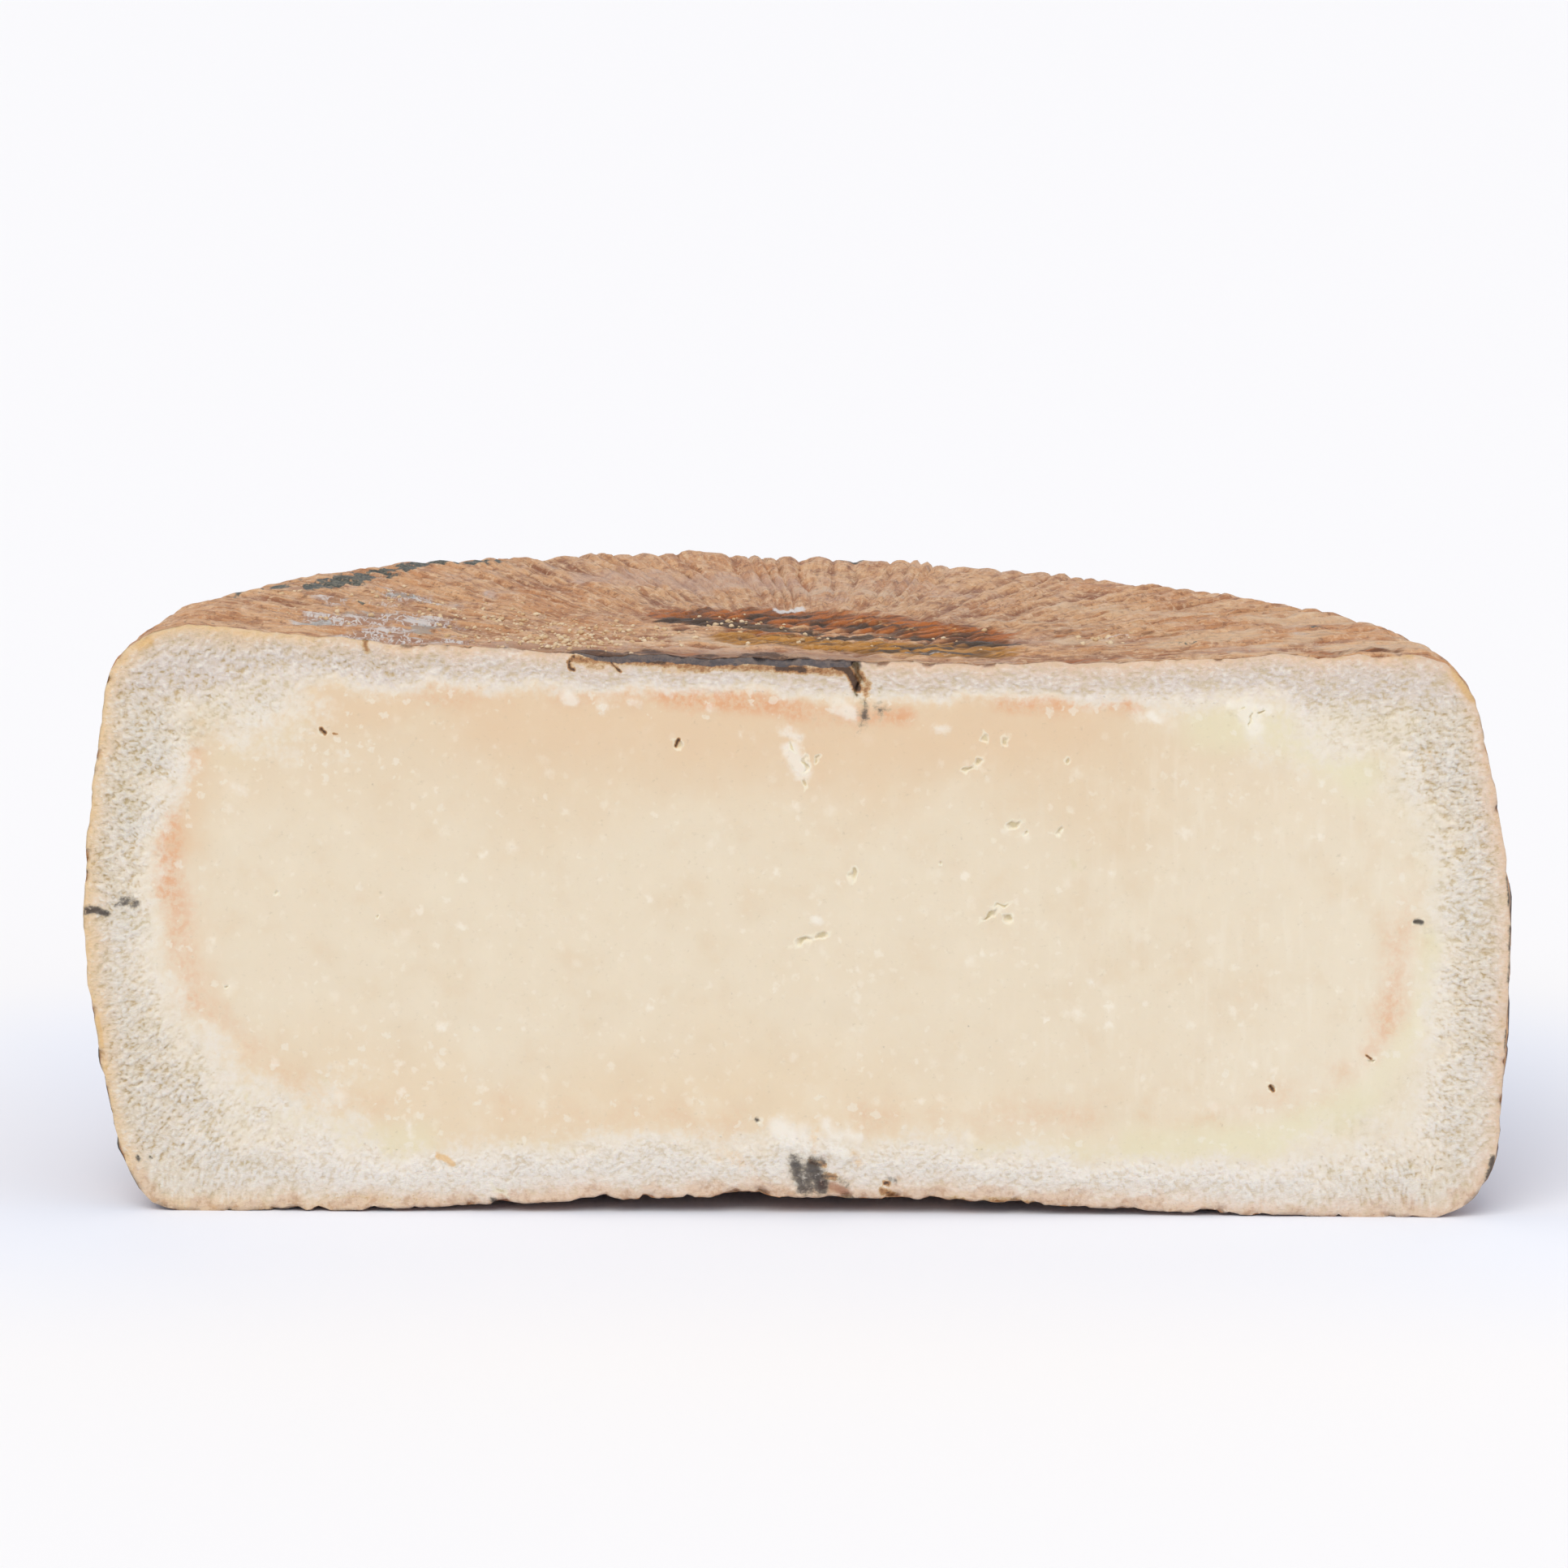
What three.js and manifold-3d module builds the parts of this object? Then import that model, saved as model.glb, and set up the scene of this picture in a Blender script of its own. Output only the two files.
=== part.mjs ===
// Half of a hard sheep's-milk cheese wheel that was pressed in a woven reed basket.
//
// Millimetres, +Z up. The flat cut face looks along -Y and its long side runs along X, so the
// rounded back of the half wheel points along +Y. The origin is at the middle of the base of the
// bounding box. Inside this file the wheel is shaped about its own axis, with the cut through
// that axis, and moved to the origin at the end.

import * as THREE from "three";
import { mergeVertices } from "three/addons/utils/BufferGeometryUtils.js";
import Module from "manifold-3d";

// ---- driving dimensions ------------------------------------------------------------------

// Pairs are the value at the right end of the cut and at its left end: the wheel leans a little,
// so it stands taller and draws in more towards the foot on the left.
const wheel = {
  radius: 150.2, // at the waist, without the reed marks
  height: [120.4, 125.0],
  backRise: 1.5, // the rim rises towards the back, most at the back left
  waistHeight: 60,
  topBulge: [11.6, 7.6], // how far the side draws in from the waist to the shoulder
  baseBulge: [2.6, 11],
  bulgePower: 1.6,
  shoulderRun: [17, 16], // rounding between top and side
  shoulderDrop: [11.5, 12],
  footRun: 7, // rounding between side and base
  footRise: 7,
  outOfRound: 0.9, // slow wander of the radius
};

const top = {
  middleHeight: 119.2, // the top is a wide shallow dish
  dishRadius: 124,
  dishPower: 2.3, // it rises slowly at first and then faster towards the rim
  dip: { x: 44, y: 0, radius: 62, depth: 1.2 }, // a lower place at the right of the cut
  hollow: { x: 6, y: 42, radius: 34, depth: 1.2 }, // the small bowl left by the knot of the basket
};

const base = {
  arch: 3.6, // the base lifts off the table in the middle
  archRadius: 112,
  landInner: 116, // flat ring that the wheel stands on
  landOuter: 128,
};

const reeds = {
  count: 72, // radial reed marks on the half wheel
  topDepth: 1.2,
  topInner: 54, // the marks begin here and are at their deepest further out
  topOuter: 104,
  baseDepth: 0.9,
  uneven: 0.4, // of a reed's width, how far its place strays
  lean: 0.1, // radians that the marks swirl between rim and middle
};

const weave = {
  rows: 13, // rows of weft round the side
  depth: 1.1,
};

// The crumb under the rind breaks into flakes where the knife went through it. Its rings lie at
// these shares of the way in from the outline to the middle line of the cut.
const crumb = {
  rings: [0.06, 0.13, 0.2, 0.27],
  depth: 0.9,
  middleReach: 88, // half length of the middle line
  middleHeight: 62,
};

const crack = { x: 13, width: 2.4, depth: 9.5, reach: 7 }; // splits the top edge of the cut

// Eyes and tears that open on the cut face: x along the cut, z above the base, length, height, turn.
const eyes = [
  { x: 41.5, z: 64.4, length: 6.4, height: 3.0, turn: 0.5 },
  { x: 3.1, z: 59.8, length: 6.6, height: 2.2, turn: 0.25 },
  { x: 37.3, z: 96.9, length: 5.2, height: 1.9, turn: 0.9 },
  { x: 45.5, z: 83.8, length: 4.0, height: 1.8, turn: 0.3 },
  { x: 1.5, z: 95.3, length: 4.2, height: 1.6, turn: 1.4 },
  { x: -25.5, z: 100.6, length: 2.4, height: 1.6, turn: 1.2 },
  { x: -99.3, z: 103.0, length: 2.6, height: 1.5, turn: -0.9 },
];
const eyeDepth = 1.6;

const columns = reeds.count * 2; // one groove and one crown for each reed
const paste = { color: 0xd9b98d, roughness: 0.75, metalness: 0 };

// ---- small helpers -----------------------------------------------------------------------

const mix = (a, b, t) => a + (b - a) * t;
const square = (v) => v * v;

function smooth(low, high, v) {
  const t = Math.min(Math.max((v - low) / (high - low), 0), 1);
  return t * t * (3 - 2 * t);
}

// ---- the wheel's smooth form ---------------------------------------------------------------

// A value that goes from its right-hand to its left-hand one round the back of the half wheel.
const alongCut = ([right, left], angle) => mix(right, left, (1 - Math.cos(angle)) / 2);

function rimHeight(angle) {
  const rise = wheel.backRise * Math.sin(angle) * (1 - 1.3 * Math.cos(angle));
  return alongCut(wheel.height, angle) + rise;
}

function wander(angle) {
  const slow = 0.6 * Math.sin(3 * angle + 0.5) + 0.4 * Math.sin(7 * angle + 2);
  return wheel.outOfRound * slow * Math.sin(angle);
}

function sideRadius(angle, z) {
  const rise = z - wheel.waistHeight;
  const span = rise > 0 ? rimHeight(angle) - wheel.waistHeight : wheel.waistHeight;
  const bulge = alongCut(rise > 0 ? wheel.topBulge : wheel.baseBulge, angle);
  return wheel.radius + wander(angle) - bulge * Math.abs(rise / span) ** wheel.bulgePower;
}

function bowl({ x, y, radius, depth }, angle, r) {
  const away = Math.hypot(r * Math.cos(angle) - x, r * Math.sin(angle) - y);
  return depth * (1 - smooth(0, radius, away));
}

function topHeight(angle, r) {
  const dish = mix(top.middleHeight, rimHeight(angle), Math.min(r / top.dishRadius, 1) ** top.dishPower);
  return dish - bowl(top.dip, angle, r) - bowl(top.hollow, angle, r);
}

function baseHeight(r) {
  return base.arch * square(1 - Math.min(r / base.archRadius, 1) ** 2);
}

// ---- stations: the rings of points from the middle of the top round to the middle of the base

const shoulderRun = (angle) => alongCut(wheel.shoulderRun, angle);
const shoulderDrop = (angle) => alongCut(wheel.shoulderDrop, angle);
const shoulderRadius = (angle) => sideRadius(angle, rimHeight(angle) - shoulderDrop(angle));
const footRadius = (angle) => sideRadius(angle, wheel.footRise);

function topStation(share, divide) {
  return {
    divide,
    point: (angle) => {
      const r = share * (shoulderRadius(angle) - shoulderRun(angle));
      return { r, z: topHeight(angle, r), outR: 0, outZ: 1 };
    },
  };
}

function shoulderStation(turn) {
  const along = Math.sin(turn);
  const up = Math.cos(turn);
  return {
    divide: 1,
    point: (angle) => ({
      r: shoulderRadius(angle) - shoulderRun(angle) * (1 - along),
      z: rimHeight(angle) - shoulderDrop(angle) * (1 - up),
      outR: along,
      outZ: up,
    }),
  };
}

function sideStation(row) {
  return {
    divide: 1,
    row,
    point: (angle) => {
      const low = wheel.footRise;
      const high = rimHeight(angle) - shoulderDrop(angle);
      const z = mix(high, low, (row + 0.5) / weave.rows);
      return { r: sideRadius(angle, z), z, outR: 1, outZ: 0 };
    },
  };
}

function footStation(turn) {
  const along = Math.cos(turn);
  const down = Math.sin(turn);
  return {
    divide: 1,
    point: (angle) => ({
      r: footRadius(angle) - wheel.footRun * (1 - along),
      z: wheel.footRise * (1 - down),
      outR: along,
      outZ: -down,
    }),
  };
}

function baseStation(r, divide) {
  return { divide, point: () => ({ r, z: baseHeight(r), outR: 0, outZ: -1 }) };
}

// Towards the middle the rings carry a half, then a quarter, of the columns.
const stations = [
  topStation(0.07, 8),
  topStation(0.15, 4),
  topStation(0.24, 4),
  topStation(0.33, 2),
  topStation(0.42, 2),
  topStation(0.51, 2),
  topStation(0.6, 1),
  topStation(0.7, 1),
  topStation(0.8, 1),
  topStation(0.9, 1),
  shoulderStation(0),
  shoulderStation(Math.PI / 6),
  shoulderStation(Math.PI / 3),
  ...Array.from({ length: weave.rows }, (_, row) => sideStation(row)),
  footStation(Math.PI / 6),
  footStation(Math.PI / 3),
  baseStation(base.landOuter + 4, 1),
  baseStation(base.landOuter, 1),
  baseStation(base.landInner, 1),
  baseStation(103, 1),
  baseStation(86, 1),
  baseStation(66, 2),
  baseStation(44, 4),
  baseStation(20, 8),
];

// ---- the marks of the basket ---------------------------------------------------------------

// An even spread of values from 0 to 1, the same one each time for an index.
function spreadOf(index) {
  const spread = Math.sin(index * 12.9898) * 43758.5453;
  return spread - Math.floor(spread);
}

// Each reed has a thickness of its own.
const reedSize = (index) => 0.6 + 0.4 * spreadOf(index);

// The direction of a column from the axis: the reeds stray a little, but not at the cut.
function columnAngle(column) {
  const even = (column / columns) * Math.PI;
  const stray = 0.6 * Math.sin(23 * even) + 0.4 * Math.sin(41 * even + 1);
  const awayFromCut = Math.min(1, 5 * Math.sin(even));
  return even + (reeds.uneven * stray * awayFromCut * Math.PI) / reeds.count;
}

// How far the surface stands out from the smooth form at a column of a station, along its normal.
function relief(station, column, spot) {
  const crown = column % 2 === 1 ? 1 : -1;
  const size = reedSize(Math.floor(column / 2));
  if (station.row !== undefined) {
    const over = Math.cos(((column + 2 * station.row) * Math.PI) / 2); // over one stake, under the next
    return weave.depth * (0.75 * over + 0.25 * crown) * size;
  }
  if (spot.outZ >= 0) {
    return reeds.topDepth * crown * size * smooth(reeds.topInner, reeds.topOuter, spot.r);
  }
  const onLand = spot.r > base.landInner - 1 && spot.r < base.landOuter + 1;
  return onLand ? 0 : -reeds.baseDepth * (1 - crown) * size * smooth(60, 100, spot.r);
}

// The reeds run a little askew between the rim and the middle, but straight at the cut.
function swirl(angle, r) {
  return reeds.lean * square(Math.sin(angle)) * (1 - Math.min(r / wheel.radius, 1));
}

function ringPoint(station, column) {
  const angle = columnAngle(column);
  const spot = station.point(angle);
  const out = relief(station, column, spot);
  const r = spot.r + out * spot.outR;
  const turned = angle - swirl(angle, spot.r);
  const last = column === columns;
  return new THREE.Vector3(
    r * (last ? -1 : Math.cos(turned)),
    last || column === 0 ? 0 : r * Math.sin(turned),
    Math.max(spot.z + out * spot.outZ, 0),
  );
}

// ---- the closed skin -----------------------------------------------------------------------

// A point of the crumb on the cut, a share of the way in from the outline, sunk by a draw of its own.
function flakePoint(rim, share, draw) {
  const reach = crumb.middleReach;
  const middle = new THREE.Vector3(THREE.MathUtils.clamp(rim.x, -reach, reach), 0, crumb.middleHeight);
  const point = rim.clone().lerp(middle, share * (0.85 + 0.3 * spreadOf(draw + 0.5)));
  const innermost = share === crumb.rings.at(-1);
  return point.setY(innermost ? 0 : crumb.depth * spreadOf(draw));
}

function wheelGeometry() {
  const points = [];
  const faces = [];
  const add = (point) => points.push(point) - 1;
  const rings = stations.map((station) => {
    const ring = new Map();
    for (let column = 0; column <= columns; column += station.divide) {
      ring.set(column, add(ringPoint(station, column)));
    }
    return { ring, divide: station.divide };
  });
  const topMiddle = add(new THREE.Vector3(0, 0, topHeight(0, 0)));
  const baseMiddle = add(new THREE.Vector3(0, 0, baseHeight(0)));

  // Joins two rings, the wider step of which is one or two of the narrower one's.
  const join = (upper, lower) => {
    const step = Math.max(upper.divide, lower.divide);
    for (let from = 0; from < columns; from += step) {
      const to = from + step;
      const half = from + step / 2;
      const [a, b] = [upper.ring.get(from), upper.ring.get(to)];
      const [c, d] = [lower.ring.get(from), lower.ring.get(to)];
      if (upper.divide === lower.divide) {
        faces.push([a, c, b], [b, c, d]);
      } else if (upper.divide > lower.divide) {
        const m = lower.ring.get(half);
        faces.push([a, c, m], [a, m, b], [b, m, d]);
      } else {
        const m = upper.ring.get(half);
        faces.push([a, c, m], [m, c, d], [m, d, b]);
      }
    }
  };
  for (let i = 1; i < rings.length; i++) join(rings[i - 1], rings[i]);

  const fan = (middle, { ring, divide }, upwards) => {
    for (let from = 0; from < columns; from += divide) {
      const [a, b] = [ring.get(from), ring.get(from + divide)];
      faces.push(upwards ? [middle, a, b] : [middle, b, a]);
    }
  };
  fan(topMiddle, rings[0], true);
  fan(baseMiddle, rings.at(-1), false);

  // The cut: its outline runs down the right end, along the base, up the left end and back.
  const right = rings.map(({ ring }) => ring.get(0));
  const left = rings.map(({ ring }) => ring.get(columns)).reverse();
  const outline = [topMiddle, ...right, baseMiddle, ...left];
  let outer = outline;
  for (const share of crumb.rings) {
    const inner = outline.map((i) => add(flakePoint(points[i], share, points.length)));
    outer.forEach((a, at) => {
      const next = (at + 1) % outer.length;
      faces.push([outer[next], a, inner[at]], [outer[next], inner[at], inner[next]]);
    });
    outer = inner;
  }
  const flat = outer.map((i) => new THREE.Vector2(points[i].x, points[i].z));
  for (const [a, b, c] of THREE.ShapeUtils.triangulateShape(flat, [])) {
    faces.push([outer[a], outer[b], outer[c]]);
  }

  const geometry = new THREE.BufferGeometry().setFromPoints(points);
  geometry.setIndex(faces.flat());
  return geometry;
}

// ---- tears in the cut face -------------------------------------------------------------------

function eyeGeometry({ x, z, length, height, turn }) {
  const pit = new THREE.IcosahedronGeometry(1, 1);
  pit.scale(length / 2, eyeDepth, height / 2);
  pit.rotateY(-turn);
  return pit.translate(x, 0, z);
}

// A wedge that is wide at the top edge and runs out to a line below.
function crackGeometry() {
  const over = 4;
  const edge = topHeight(0, crack.x);
  const wedge = new THREE.Shape([
    new THREE.Vector2(crack.x - crack.width / 2, edge + over),
    new THREE.Vector2(crack.x - 0.3, edge - crack.depth),
    new THREE.Vector2(crack.x + 0.3, edge - crack.depth - 0.4),
    new THREE.Vector2(crack.x + crack.width / 2, edge + over),
  ]);
  const cut = new THREE.ExtrudeGeometry(wedge, { depth: crack.reach + over, bevelEnabled: false });
  return cut.rotateX(Math.PI / 2).translate(0, crack.reach, 0);
}

// ---- joining and cutting -----------------------------------------------------------------------

const wasm = await Module();
wasm.setup();

function solidOf(geometry) {
  const bare = new THREE.BufferGeometry();
  bare.setAttribute("position", geometry.getAttribute("position"));
  bare.setIndex(geometry.index);
  const merged = mergeVertices(bare, 1e-4);
  return new wasm.Manifold(
    new wasm.Mesh({
      numProp: 3,
      vertProperties: new Float32Array(merged.attributes.position.array),
      triVerts: new Uint32Array(merged.index.array),
    }),
  );
}

function geometryOf(solid) {
  const { vertProperties, triVerts } = solid.getMesh();
  const geometry = new THREE.BufferGeometry();
  geometry.setAttribute("position", new THREE.BufferAttribute(vertProperties, 3));
  geometry.setIndex(new THREE.BufferAttribute(triVerts, 1));
  return geometry;
}

function cheeseGeometry() {
  let solid = solidOf(wheelGeometry());
  for (const tear of [crackGeometry(), ...eyes.map(eyeGeometry)]) {
    solid = solid.subtract(solidOf(tear));
  }
  const geometry = geometryOf(solid);
  geometry.computeBoundingBox();
  const middle = geometry.boundingBox.getCenter(new THREE.Vector3());
  geometry.translate(-middle.x, -middle.y, -geometry.boundingBox.min.z);
  return geometry;
}

const cheese = new THREE.Mesh(cheeseGeometry(), new THREE.MeshStandardMaterial(paste));
cheese.name = "half_wheel";

const part = new THREE.Group();
part.add(cheese);

export default part;
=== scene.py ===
import math
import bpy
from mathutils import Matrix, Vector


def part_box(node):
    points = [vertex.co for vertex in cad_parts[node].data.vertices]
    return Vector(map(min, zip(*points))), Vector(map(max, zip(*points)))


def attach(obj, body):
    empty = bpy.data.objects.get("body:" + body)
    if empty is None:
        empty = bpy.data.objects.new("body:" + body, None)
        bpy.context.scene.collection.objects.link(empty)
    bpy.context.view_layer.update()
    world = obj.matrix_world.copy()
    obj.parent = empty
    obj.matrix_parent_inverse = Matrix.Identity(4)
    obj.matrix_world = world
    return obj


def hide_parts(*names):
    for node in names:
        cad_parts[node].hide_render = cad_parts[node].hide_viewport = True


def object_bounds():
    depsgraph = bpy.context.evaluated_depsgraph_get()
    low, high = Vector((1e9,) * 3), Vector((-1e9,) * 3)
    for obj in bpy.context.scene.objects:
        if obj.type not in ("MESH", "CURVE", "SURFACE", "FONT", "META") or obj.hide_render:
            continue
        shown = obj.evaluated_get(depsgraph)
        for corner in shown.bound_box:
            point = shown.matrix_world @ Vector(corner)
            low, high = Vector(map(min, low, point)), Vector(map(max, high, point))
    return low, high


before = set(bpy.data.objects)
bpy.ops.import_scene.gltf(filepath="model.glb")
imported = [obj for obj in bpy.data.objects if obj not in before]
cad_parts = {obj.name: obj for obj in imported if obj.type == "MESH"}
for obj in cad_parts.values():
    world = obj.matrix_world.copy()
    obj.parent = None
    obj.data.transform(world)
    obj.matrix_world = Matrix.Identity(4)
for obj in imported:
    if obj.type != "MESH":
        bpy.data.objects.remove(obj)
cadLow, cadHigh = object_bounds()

from types import SimpleNamespace

import bmesh
import bpy
import numpy as np
from mathutils import Matrix, Vector, noise

# Half of a basket-pressed sheep's cheese wheel. The form is worked out in millimetres about the
# wheel's own axis, x along the cut, y back from the cut and z up, and put in its place in metres.

millimetre = 0.001
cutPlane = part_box("half_wheel")[0].y
wheelPlace = Vector((0.0, cutPlane, 0.0))


# Small helpers for numbers and places.

def blend(a, b, share):
    return a + (b - a) * share


def smooth(low, high, value):
    share = np.clip((value - low) / (high - low), 0, 1)
    return share * share * (3 - 2 * share)


def dome(value):
    # round backs with narrow furrows between them, one back for each whole number
    part = value - np.floor(value)
    return np.sqrt(np.clip(1 - (2 * part - 1) ** 2, 0, 1))


def hashOf(index, seed=0.0):
    spread = np.sin(np.asarray(index) * 12.9898 + seed * 78.233) * 43758.5453
    return spread - np.floor(spread)


def noiseAt(points, size, seed=0.0, octaves=1):
    # soft noise of about -1 to 1 at each point, with lumps of about the given size
    shift = Vector((seed * 3.1, seed * 1.7, seed * 2.3))
    scale = 1 / np.asarray(size, float)
    rows = (points * scale).tolist()
    if octaves == 1:
        return np.array([noise.noise(Vector(row) + shift) for row in rows]) * 1.5
    return np.array([noise.fractal(Vector(row) + shift, 0.7, 2.1, octaves) for row in rows])


def cellsAt(points, size, seed=0.0):
    # 0 in the furrows between grains, up to about 1 on their backs
    shift = Vector((seed * 3.1, seed * 1.7, seed * 2.3))
    rows = (points / np.asarray(size, float)).tolist()
    near = np.array([noise.voronoi(Vector(row) + shift)[0][:2] for row in rows])
    return np.clip((near[:, 1] - near[:, 0]) * 1.6, 0, 1)


def toPath(x, z, path):
    # distance of every point to a chain of short strokes
    best = np.full(x.shape, 1e9)
    for (ax, az), (bx, bz) in zip(path, path[1:]):
        dx, dz = bx - ax, bz - az
        along = np.clip(((x - ax) * dx + (z - az) * dz) / (dx * dx + dz * dz), 0, 1)
        best = np.minimum(best, np.hypot(x - ax - along * dx, z - az - along * dz))
    return best


def spot(x, z, place, size, turn=0.0):
    # 1 in the middle of an oval, 0.5 on its rim and fading outside
    dx, dz = x - place[0], z - place[1]
    cosTurn, sinTurn = math.cos(turn), math.sin(turn)
    along = (dx * cosTurn + dz * sinTurn) / size[0]
    across = (dz * cosTurn - dx * sinTurn) / size[1]
    return np.exp(-0.69 * (along * along + across * across))


# Small helpers for meshes.

def deselectAll():
    if bpy.context.object and bpy.context.object.mode != "OBJECT":
        bpy.ops.object.mode_set(mode="OBJECT")
    bpy.ops.object.select_all(action="DESELECT")


def readPoints(mesh):
    flat = np.empty(len(mesh.vertices) * 3)
    mesh.vertices.foreach_get("co", flat)
    return flat.reshape(-1, 3)


def writePoints(mesh, points):
    mesh.vertices.foreach_set("co", points.ravel())
    mesh.update()


def keepAttribute(mesh, name, values):
    layer = mesh.attributes.get(name) or mesh.attributes.new(name, "FLOAT", "POINT")
    layer.data.foreach_set("value", np.asarray(values, np.float32))


# The smooth form of the wheel. Pairs are the value at the right end of the cut and at its left end.

wheel = {
    "radius": 150.2,
    "height": (120.4, 125.0),
    "backRise": 1.5,
    "waistHeight": 60.0,
    "topBulge": (11.6, 8.2),
    "baseBulge": (2.6, 11.0),
    "bulgePower": 1.6,
    "shoulderRun": (12.5, 18.0),
    "shoulderDrop": (11.5, 12.0),
    "footRun": (14.0, 11.0),
    "footRise": (15.0, 13.5),
    "outOfRound": 0.9,
    "middleHeight": 119.2,              # the top is a wide shallow dish
    "dishRadius": 124.0,
    "dishPower": 2.3,
    "dip": (44.0, 0.0, 62.0, 1.2),      # a lower place at the right of the cut: x, y, radius, depth
    "hollow": (6.0, 42.0, 34.0, 1.2),   # the small bowl left by the knot of the basket
    "arch": 3.6,
    "archRadius": 112.0,
    "landInner": 116.0,
    "landOuter": 128.0,
}


def alongCut(pair, angle):
    return blend(pair[0], pair[1], (1 - np.cos(angle)) / 2)


def rimHeight(angle):
    rise = wheel["backRise"] * np.sin(angle) * (1 - 1.3 * np.cos(angle))
    return alongCut(wheel["height"], angle) + rise


def sideRadius(angle, z):
    rise = z - wheel["waistHeight"]
    above = rise > 0
    span = np.where(above, rimHeight(angle) - wheel["waistHeight"], wheel["waistHeight"])
    bulge = np.where(above, alongCut(wheel["topBulge"], angle), alongCut(wheel["baseBulge"], angle))
    slow = 0.6 * np.sin(3 * angle + 0.5) + 0.4 * np.sin(7 * angle + 2)
    wander = wheel["outOfRound"] * slow * np.sin(angle)
    return wheel["radius"] + wander - bulge * np.abs(rise / span) ** wheel["bulgePower"]


def bowl(name, angle, r):
    x, y, radius, depth = wheel[name]
    away = np.hypot(r * np.cos(angle) - x, r * np.sin(angle) - y)
    return depth * (1 - smooth(0, radius, away))


def topHeight(angle, r):
    share = np.minimum(r / wheel["dishRadius"], 1) ** wheel["dishPower"]
    dish = blend(wheel["middleHeight"], rimHeight(angle), share)
    return dish - bowl("dip", angle, r) - bowl("hollow", angle, r)


def baseHeight(r):
    return wheel["arch"] * (1 - np.minimum(r / wheel["archRadius"], 1) ** 2) ** 2


# The rind: a sheet wrapped round the back of the half wheel.

sheet = {
    "columns": 512,
    "stations": 470,
    "shares": (0.33, 0.05, 0.26, 0.03, 0.33),  # top, shoulder, side, foot, base
    "rindShare": 0.39,   # of the faces kept when it is thinned out
    "pasteShare": 0.27,
    "fineCrumb": 0.98,          # of the crumb's depth, where the cut is given finer faces
    "keptCrumb": 1.06,          # and where they are kept
    "fineEye": 3.2,
    "keptEye": 3.6,
    "cornerDrop": 12.0,         # the top edge of the cut ends this far below its highest corner
    "closing": ((4.0, 0.982), (10.0, 0.985)),   # steps back into the wheel, and narrower by
    "closeAbout": (0, 0, 60),
}
top, shoulder, side, foot, base = range(5)


def sectionAt(angle, share):
    # The smooth form, from the middle of the top (share 0) round to the middle of the base (1).
    steps = np.concatenate([[0], np.cumsum(sheet["shares"])])
    local = [np.clip((share - a) / (b - a), 0, 1) for a, b in zip(steps, steps[1:])]
    zone = np.searchsorted(steps[1:-1], share, side="right")
    run, drop = alongCut(wheel["shoulderRun"], angle), alongCut(wheel["shoulderDrop"], angle)
    footRun, footRise = alongCut(wheel["footRun"], angle), alongCut(wheel["footRise"], angle)
    rim = rimHeight(angle)
    shoulderR = sideRadius(angle, rim - drop)
    footR = sideRadius(angle, footRise)
    topR = local[top] * (shoulderR - run)
    over = local[shoulder] * math.pi / 2
    under = local[foot] * math.pi / 2
    sideZ = blend(rim - drop, footRise, local[side])
    baseR = (1 - local[base]) * (footR - footRun)
    lean = shoulderR - sideRadius(angle, rim - drop + 1)         # slope of the side at its two ends
    footLean = sideRadius(angle, footRise + 1) - footR
    overZ = drop * np.cos(over)
    underZ = footRise * np.sin(under)
    overR = shoulderR - lean * overZ - (run - lean * drop) * (1 - np.sin(over))
    underR = footR - footLean * underZ - (footRun - footLean * footRise) * (1 - np.cos(under))
    zero, one = np.zeros_like(angle), np.ones_like(angle)
    r = np.choose(zone, [topR, overR, sideRadius(angle, sideZ), underR, baseR])
    z = np.choose(zone, [
        topHeight(angle, topR), rim - drop + overZ, sideZ, footRise - underZ, baseHeight(baseR)])
    outR = np.choose(zone, [zero, np.sin(over), one, np.cos(under), zero])
    outZ = np.choose(zone, [one, np.cos(over), zero, -np.sin(under), -one])
    return {"zone": zone, "r": r, "z": z, "outR": outR, "outZ": outZ, "row": local[side]}


basket = {
    "reeds": 72,                    # round the half wheel
    "reedDepth": 2.3,
    "reedReach": (56.0, 98.0),      # the reed marks begin and are full this far out
    "strawReach": (34.0, 66.0),     # straws lie across the middle and turn outwards here
    "strawDepth": (0.6, 0.4),       # between the middle and the reeds, and on the reeds
    "topLumps": 0.35,
    "lean": 0.1,
    "rows": 13,
    "weaveDepth": 2.6,
    "baseDepth": 1.5,
    "dentDepth": (1.6, 0.7),        # broad and small dents of the base
    "nickDepth": 0.4,
    "calmBehindCut": 26.0,          # the marks are flatter this near the cut
    "sideNearCut": 0.34,
}

knotPatch = {
    "place": (6.0, 38.0), "size": (40.0, 22.0), "turn": -0.38,
    "strandTurn": 0.62, "strand": 3.4, "depth": 1.8,
}

# Lumps and wrinkles above the base, and pits and pinholes of the top: size and height.
surface = {
    "lumps": ((17, 0.45), (6, 0.22)),
    "wrinkles": (2.4, 0.16),
    "pits": (3.2, 0.2),
    "pinholes": 1.5,
}

# Dark dry growths that stand proud of the side just behind the cut: end of the cut (1 right, -1
# left), height above the base, length along the wheel, height of the growth, thickness.
scabs = [
    (1, 67, 9, 7, 1.0), (1, 55, 12, 8, 1.3), (1, 44, 8, 5, 1.0), (1, 36, 9, 5.5, 1.1),
    (1, 16, 8, 5, 0.7), (1, 9, 7, 3, 0.3), (-1, 33, 6, 4, 0.6), (-1, 24, 8, 6, 0.9),
    (-1, 14, 7, 5, 0.9), (-1, 6, 6, 3, 0.7),
]


def swirlOf(angle, r):
    return basket["lean"] * np.sin(angle) ** 2 * (1 - np.minimum(r / wheel["radius"], 1))


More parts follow.
